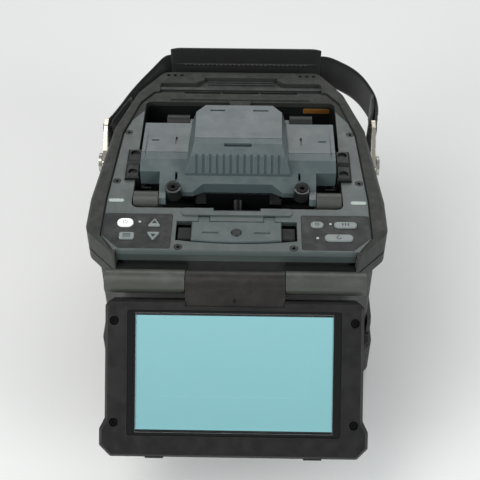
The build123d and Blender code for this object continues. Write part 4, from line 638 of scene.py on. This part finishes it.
def pad_share(distances, i):
    """How far along its free run the webbing is: 0 until it leaves the ring, 1 at the pad."""
    leaves, total = 40 * mm, distances[-1]
    return min(1.0, max(0.0, (distances[i] - leaves) / (total - leaves)))


def make_webbing(name, side, finish):
    """One side of the strap, with its middle line and the line's lengths for the stitching."""
    line = webbing_run(side)
    section = webbing_section()
    distances = lengths_along(line)
    bm = bmesh.new()
    weave = bm.loops.layers.uv.new("weave")
    rings = []
    for i, place in enumerate(line):
        ahead = line[min(i + 1, len(line) - 1)] - line[max(i - 1, 0)]
        out = Vector((ahead.y, -ahead.x, 0.0)).normalized()
        ripple = 0.12 * mm * math.sin(distances[i] / (7 * mm))
        turn = side_turn(side, pad_share(distances, i))
        ring = [place + out * (offset + ripple) + Vector((0, 0, across)) for across, offset in section]
        rings.append([bm.verts.new(turn @ corner) for corner in ring])
    count = len(section)
    girth = [i * 2 * webbing_height / count for i in range(count + 1)]
    for i, j, face in skin(bm, rings):
        near, far = distances[i], distances[i + 1]
        corners = [(near, girth[j]), (near, girth[j + 1]), (far, girth[j + 1]), (far, girth[j])]
        for loop, corner in zip(face.loops, corners):
            loop[weave].uv = corner
    webbing = piece_from(bm, name, finish)
    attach(webbing, "strap")
    return webbing, line, distances


def stitches(name, path, finish, length=1.9 * mm, space=1.0 * mm, radius=0.22 * mm):
    """A row of sewn stitches along a path of places and outward directions."""
    bm = bmesh.new()
    places = [p for p, _ in path]
    distances = lengths_along(places)
    at = space
    while at + length < distances[-1]:
        ends = []
        for target in (at, at + length / 2, at + length):
            i = next(k for k in range(len(distances) - 1) if distances[k + 1] >= target)
            share = (target - distances[i]) / (distances[i + 1] - distances[i])
            ends.append((places[i].lerp(places[i + 1], share), path[i][1].lerp(path[i + 1][1], share)))
        sew_one(bm, ends, radius)
        at += length + space
    row = piece_from(bm, name, finish)
    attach(row, "strap")


def sew_one(bm, ends, radius):
    """One stitch: a short bowed thread whose ends dive into the cloth."""
    around = 8
    (a, out_a), (middle, out_m), (b, out_b) = ends
    stations = [
        (a - out_a * radius * 1.2, 0.5),
        (a.lerp(middle, 0.35), 0.9),
        (middle + out_m * radius * 0.5, 1.0),
        (b.lerp(middle, 0.35), 0.9),
        (b - out_b * radius * 1.2, 0.5),
    ]
    ahead = (b - a).normalized()
    side = ahead.cross(out_m).normalized()
    up = side.cross(ahead)
    rings = []
    for place, size in stations:
        ring = []
        for i in range(around):
            turn = 2 * math.pi * i / around
            away = (side * math.cos(turn) + up * math.sin(turn)) * radius * size
            ring.append(bm.verts.new(place + away))
        rings.append(ring)
    skin(bm, rings)


def webbing_stitches(name, side, line, distances, finish):
    """The boxed cross that holds the turned-back end, on the webbing's outer face."""
    past_turn, past_bar = 36 * mm, 9 * mm
    start = next(d for p, d in zip(line, distances) if d > past_turn and p.y > bar_y + past_bar)
    half = webbing_height / 2 - 3.5 * mm
    long = 14 * mm
    steps = 12

    def on_face(along, across):
        target = start + along
        i = max(k for k in range(len(distances) - 1) if distances[k] <= target)
        share = (target - distances[i]) / (distances[i + 1] - distances[i])
        place = line[i].lerp(line[i + 1], share)
        ahead = line[i + 1] - line[i]
        out = Vector((ahead.y, -ahead.x, 0.0)).normalized() * side
        place = place + out * (webbing_thick / 2 + 0.1 * mm) + Vector((0, 0, across))
        turn = side_turn(side, pad_share(distances, i))
        return turn @ place, turn.to_3x3() @ out

    corners = [(0, -half), (long, -half), (long, half), (0, half), (0, -half), (long, half)]
    last_diagonal = ((0, half), (long, -half))
    for i, ((a0, c0), (a1, c1)) in enumerate([*zip(corners, corners[1:]), last_diagonal]):
        path = [on_face(a0 + (a1 - a0) * t / steps, c0 + (c1 - c0) * t / steps) for t in range(steps + 1)]
        stitches(f"{name}_{i}", path, finish)


def pad_point(u, v):
    """A place on the pad's skin: u from -1 to 1 along it, v once round its section."""
    turn = 2 * math.pi * v
    length = (pad_right - pad_left) / 2
    end = max(0.0, (abs(u) - 0.86) / 0.14)
    taper = math.sqrt(max(0.0, 1 - end ** 2.4 * 0.82))
    across = math.copysign(abs(math.sin(turn)) ** 0.55, math.sin(turn))
    out = math.copysign(abs(math.cos(turn)) ** 0.8, math.cos(turn))
    crown = 1.0 - 0.16 * abs(across) ** 3
    z = pad_half_height * across * (1 - 0.06 * end ** 2)
    thick = pad_half_thick * taper * crown
    seam = sum(math.exp(-(((z - at) / (0.9 * mm)) ** 2)) for at in pad_seams)
    wave = 0.05 * math.sin(u * 23.0) + 0.04 * math.sin(u * 41.0 + 1.3)
    thick *= 1 - seam * (0.42 + wave) * (1 - end)
    x = (pad_left + pad_right) / 2 + length * u
    return Vector((x, pad_y + thick * out, anchor.z + z))


def make_pad(finish, thread_finish):
    """The padded grip, with a row of stitches along each seam on both its faces."""
    turn = hung_back(pad_tilt)
    along, around = 84, 144
    bm = bmesh.new()
    weave = bm.loops.layers.uv.new("weave")
    rings = []
    for i in range(along + 1):
        u = math.sin(math.pi / 2 * (2 * i / along - 1))
        rings.append([bm.verts.new(turn @ pad_point(u, j / around)) for j in range(around)])
    girth = 2 * (2 * pad_half_height + 2 * pad_half_thick)
    length = pad_right - pad_left
    for i, j, face in skin(bm, rings):
        corners = [(i, j), (i, j + 1), (i + 1, j + 1), (i + 1, j)]
        for loop, (p, q) in zip(face.loops, corners):
            loop[weave].uv = (p * length / along, q * girth / around)
    pad = piece_from(bm, "strap_cushion", finish)
    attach(pad, "strap")
    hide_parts("strap_pad")
    u_end = 0.84
    for row, seam in enumerate(pad_seams):
        for face_side in (-1, 1):
            path = [seam_place(turn, u_end * (i / 30 - 1), seam, face_side) for i in range(61)]
            name = f"pad_seam_{row}_{'front' if face_side < 0 else 'rear'}"
            stitches(name, path, thread_finish, length=2.2 * mm, space=0.8 * mm, radius=0.3 * mm)


def seam_place(turn, u, seam, face_side):
    """A place in a seam on the pad's front or rear face, and the way out of the cloth there."""
    def miss(v):
        place = pad_point(u, v)
        wrong_face = (place.y - pad_y) * face_side < 0
        return abs(place.z - anchor.z - seam) + (1.0 if wrong_face else 0.0)

    best = min((j / 360 for j in range(360)), key=miss)
    out = Vector((0, face_side, 0))
    return turn @ (pad_point(u, best) + out * 0.12 * mm), turn.to_3x3() @ out


def make_strap():
    webbing_finish = cloth("webbing_weave", srgb(15, 15, 16))
    pad_finish = cloth("pad_cover", srgb(15, 15, 15), pitch=0.6 * mm, depth=0.08 * mm)
    black_thread = thread("webbing_thread", srgb(40, 40, 39))
    grey_thread = thread("seam_thread", srgb(96, 94, 88))
    made = []
    for name, side in (("strap_web_left", -1), ("strap_web_right", 1)):
        webbing, line, distances = make_webbing(name, side, webbing_finish)
        made.append(webbing)
        webbing_stitches(name + "_stitches", side, line, distances, black_thread)
    for webbing in made:
        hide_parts("strap_webbing")
    make_pad(pad_finish, grey_thread)


# ---------------------------------------------------------------- printed marks and label
def arc(radius, start, sweep, steps):
    """Points along part of a circle, in millimetres."""
    turns = [math.radians(start + sweep * i / steps) for i in range(steps + 1)]
    return [Vector((radius * math.cos(turn), radius * math.sin(turn))) for turn in turns]


def ring_mark(outer, inner, start=0.0, sweep=360.0):
    """The small flat pieces that make up a ring, or part of one."""
    rim = arc(outer, start, sweep, ring_mark_steps)
    hole = arc(inner, start, sweep, ring_mark_steps)
    return [[rim[i], rim[i + 1], hole[i + 1], hole[i]] for i in range(ring_mark_steps)]


def bar_mark(x, y, width, height):
    w, h = width / 2, height / 2
    corners = [(x - w, y - h), (x + w, y - h), (x + w, y + h), (x - w, y + h)]
    return [[Vector(corner) for corner in corners]]


def triangle_mark(size, up):
    s = size if up else -size
    return [[Vector((-size * 0.6, -s * 0.42)), Vector((size * 0.6, -s * 0.42)), Vector((0.0, s * 0.6))]]


def thin_plate(bm, outline, near, far):
    """A thin solid between two copies of an outline."""
    ends = [[bm.verts.new(point(p)) for p in outline] for point in (near, far)]
    for i in range(len(outline)):
        k = (i + 1) % len(outline)
        bm.faces.new((ends[0][i], ends[0][k], ends[1][k], ends[1][i]))
    for loop in ends:
        bm.faces.new(loop)


def print_mark(name, node, body, outlines, finish):
    """Thin printed shapes on the middle of a node's top face."""
    low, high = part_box(node)
    centre = (low + high) / 2
    bm = bmesh.new()
    for outline in outlines:
        def at(z):
            return lambda p: (centre.x + p.x * mm, centre.y + p.y * mm, z)

        thin_plate(bm, outline, at(high.z - mark_sunk), at(high.z + mark_proud))
    mark = piece_from(bm, name, finish, smooth=False)
    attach(mark, body)


def make_marks():
    """Plain signs on the keys: a broken ring and bar, lines, arrows, a ring, bars and a turning arc."""
    dark = ink("key_print", srgb(52, 56, 56))
    menu = sum((bar_mark(0, y, 4.4, 0.5) for y in (-1.1, 0.0, 1.1)), [])
    power = ring_mark(1.3, 0.95, 125, 290) + bar_mark(0, 1.0, 0.4, 1.3)
    heat = sum((bar_mark(x, 0, 0.6, 2.0) for x in (-1.6, 0.0, 1.6)), [])
    mid_grey = ink("power_print", srgb(120, 126, 126))
    print_mark("power_mark", "power_button", "power_key", power, mid_grey)
    print_mark("menu_mark", "menu_button", "menu_key", menu, dark)
    print_mark("up_mark", "up_button", "up_key", triangle_mark(2.6, True), dark)
    print_mark("down_mark", "down_button", "down_key", triangle_mark(2.6, False), dark)
    print_mark("set_mark", "set_button", "set_key", ring_mark(1.2, 0.75), dark)
    print_mark("heat_mark", "heat_button", "heat_key", heat, dark)
    print_mark("reset_mark", "reset_button", "reset_key", ring_mark(1.4, 0.95, 60, 290), dark)


def make_label():
    """A small blank amber label high on the bay's rear wall."""
    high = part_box("bay_tub")[1]
    top = high.z - label_from_top
    low = top - label_height
    face_y = high.y - 2.0 * mm
    outline = []
    places = ((label_right, low, -90), (label_right, top, 0), (label_left, top, 90), (label_left, low, 180))
    for x, z, start in places:
        inward = Vector((-label_corner if x == label_right else label_corner,
                         -label_corner if z == top else label_corner))
        outline += [Vector((x, z)) + (inward + p) * mm for p in arc(label_corner, start, 90, 5)]
    proud_y, sunk_y = face_y - 0.12 * mm, face_y + 0.05 * mm
    bm = bmesh.new()
    thin_plate(bm, outline, lambda p: (p.x, proud_y, p.y), lambda p: (p.x, sunk_y, p.y))
    label = piece_from(bm, "amber_label", label_film("amber_film", srgb(140, 92, 34)), smooth=False)
    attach(label, "main_body")


# ---------------------------------------------------------------- studio
def make_floor():
    bm = bmesh.new()
    bmesh.ops.create_grid(bm, x_segments=8, y_segments=8, size=floor_half)
    floor = piece_from(bm, "studio_floor", floor_paper("studio_paper"))


def area_light(name, place, target, size, power, tint=(1.0, 1.0, 1.0)):
    data = bpy.data.lights.new(name, "AREA")
    data.shape = "RECTANGLE"
    data.size, data.size_y = size
    data.energy = power
    data.color = tint
    light = bpy.data.objects.new(name, data)
    bpy.context.scene.collection.objects.link(light)
    light.location = place
    light.rotation_euler = (Vector(target) - Vector(place)).to_track_quat("-Z", "Y").to_euler()


def make_studio():
    world = bpy.data.worlds.new("studio_air")
    bpy.context.scene.world = world
    world.use_nodes = True
    sky = world.node_tree.nodes["Background"]
    sky.inputs["Color"].default_value = (0.93, 0.96, 1.0, 1.0)
    sky.inputs["Strength"].default_value = 0.34
    target = (0.0, 0.0, 0.08)
    area_light("key_light", (-0.55, -0.35, 1.15), target, (0.7, 0.7), 5.5, (1.0, 0.98, 0.95))
    area_light("back_light", (0.25, 1.0, 0.95), target, (1.4, 0.5), 4.5)
    area_light("right_light", (1.0, -0.8, 0.62), target, (0.6, 0.6), 7.5, (0.96, 0.99, 1.0))
    area_light("left_light", (-1.0, -0.8, 0.62), target, (0.6, 0.6), 7.5, (0.96, 0.99, 1.0))


def make_camera():
    data = bpy.data.cameras.new("photo_view")
    data.lens = camera_lens
    data.sensor_width = 36.0
    data.clip_start, data.clip_end = 0.02, 20.0
    camera = bpy.data.objects.new("photo_view", data)
    bpy.context.scene.collection.objects.link(camera)
    camera.location = camera_place
    camera.rotation_euler = (camera_target - camera_place).to_track_quat("-Z", "Y").to_euler()
    bpy.context.scene.camera = camera


make_camera()
dress_cad_nodes()
make_strap()
make_marks()
make_label()
make_floor()
make_studio()
bpy.context.scene.view_settings.view_transform = "Standard"
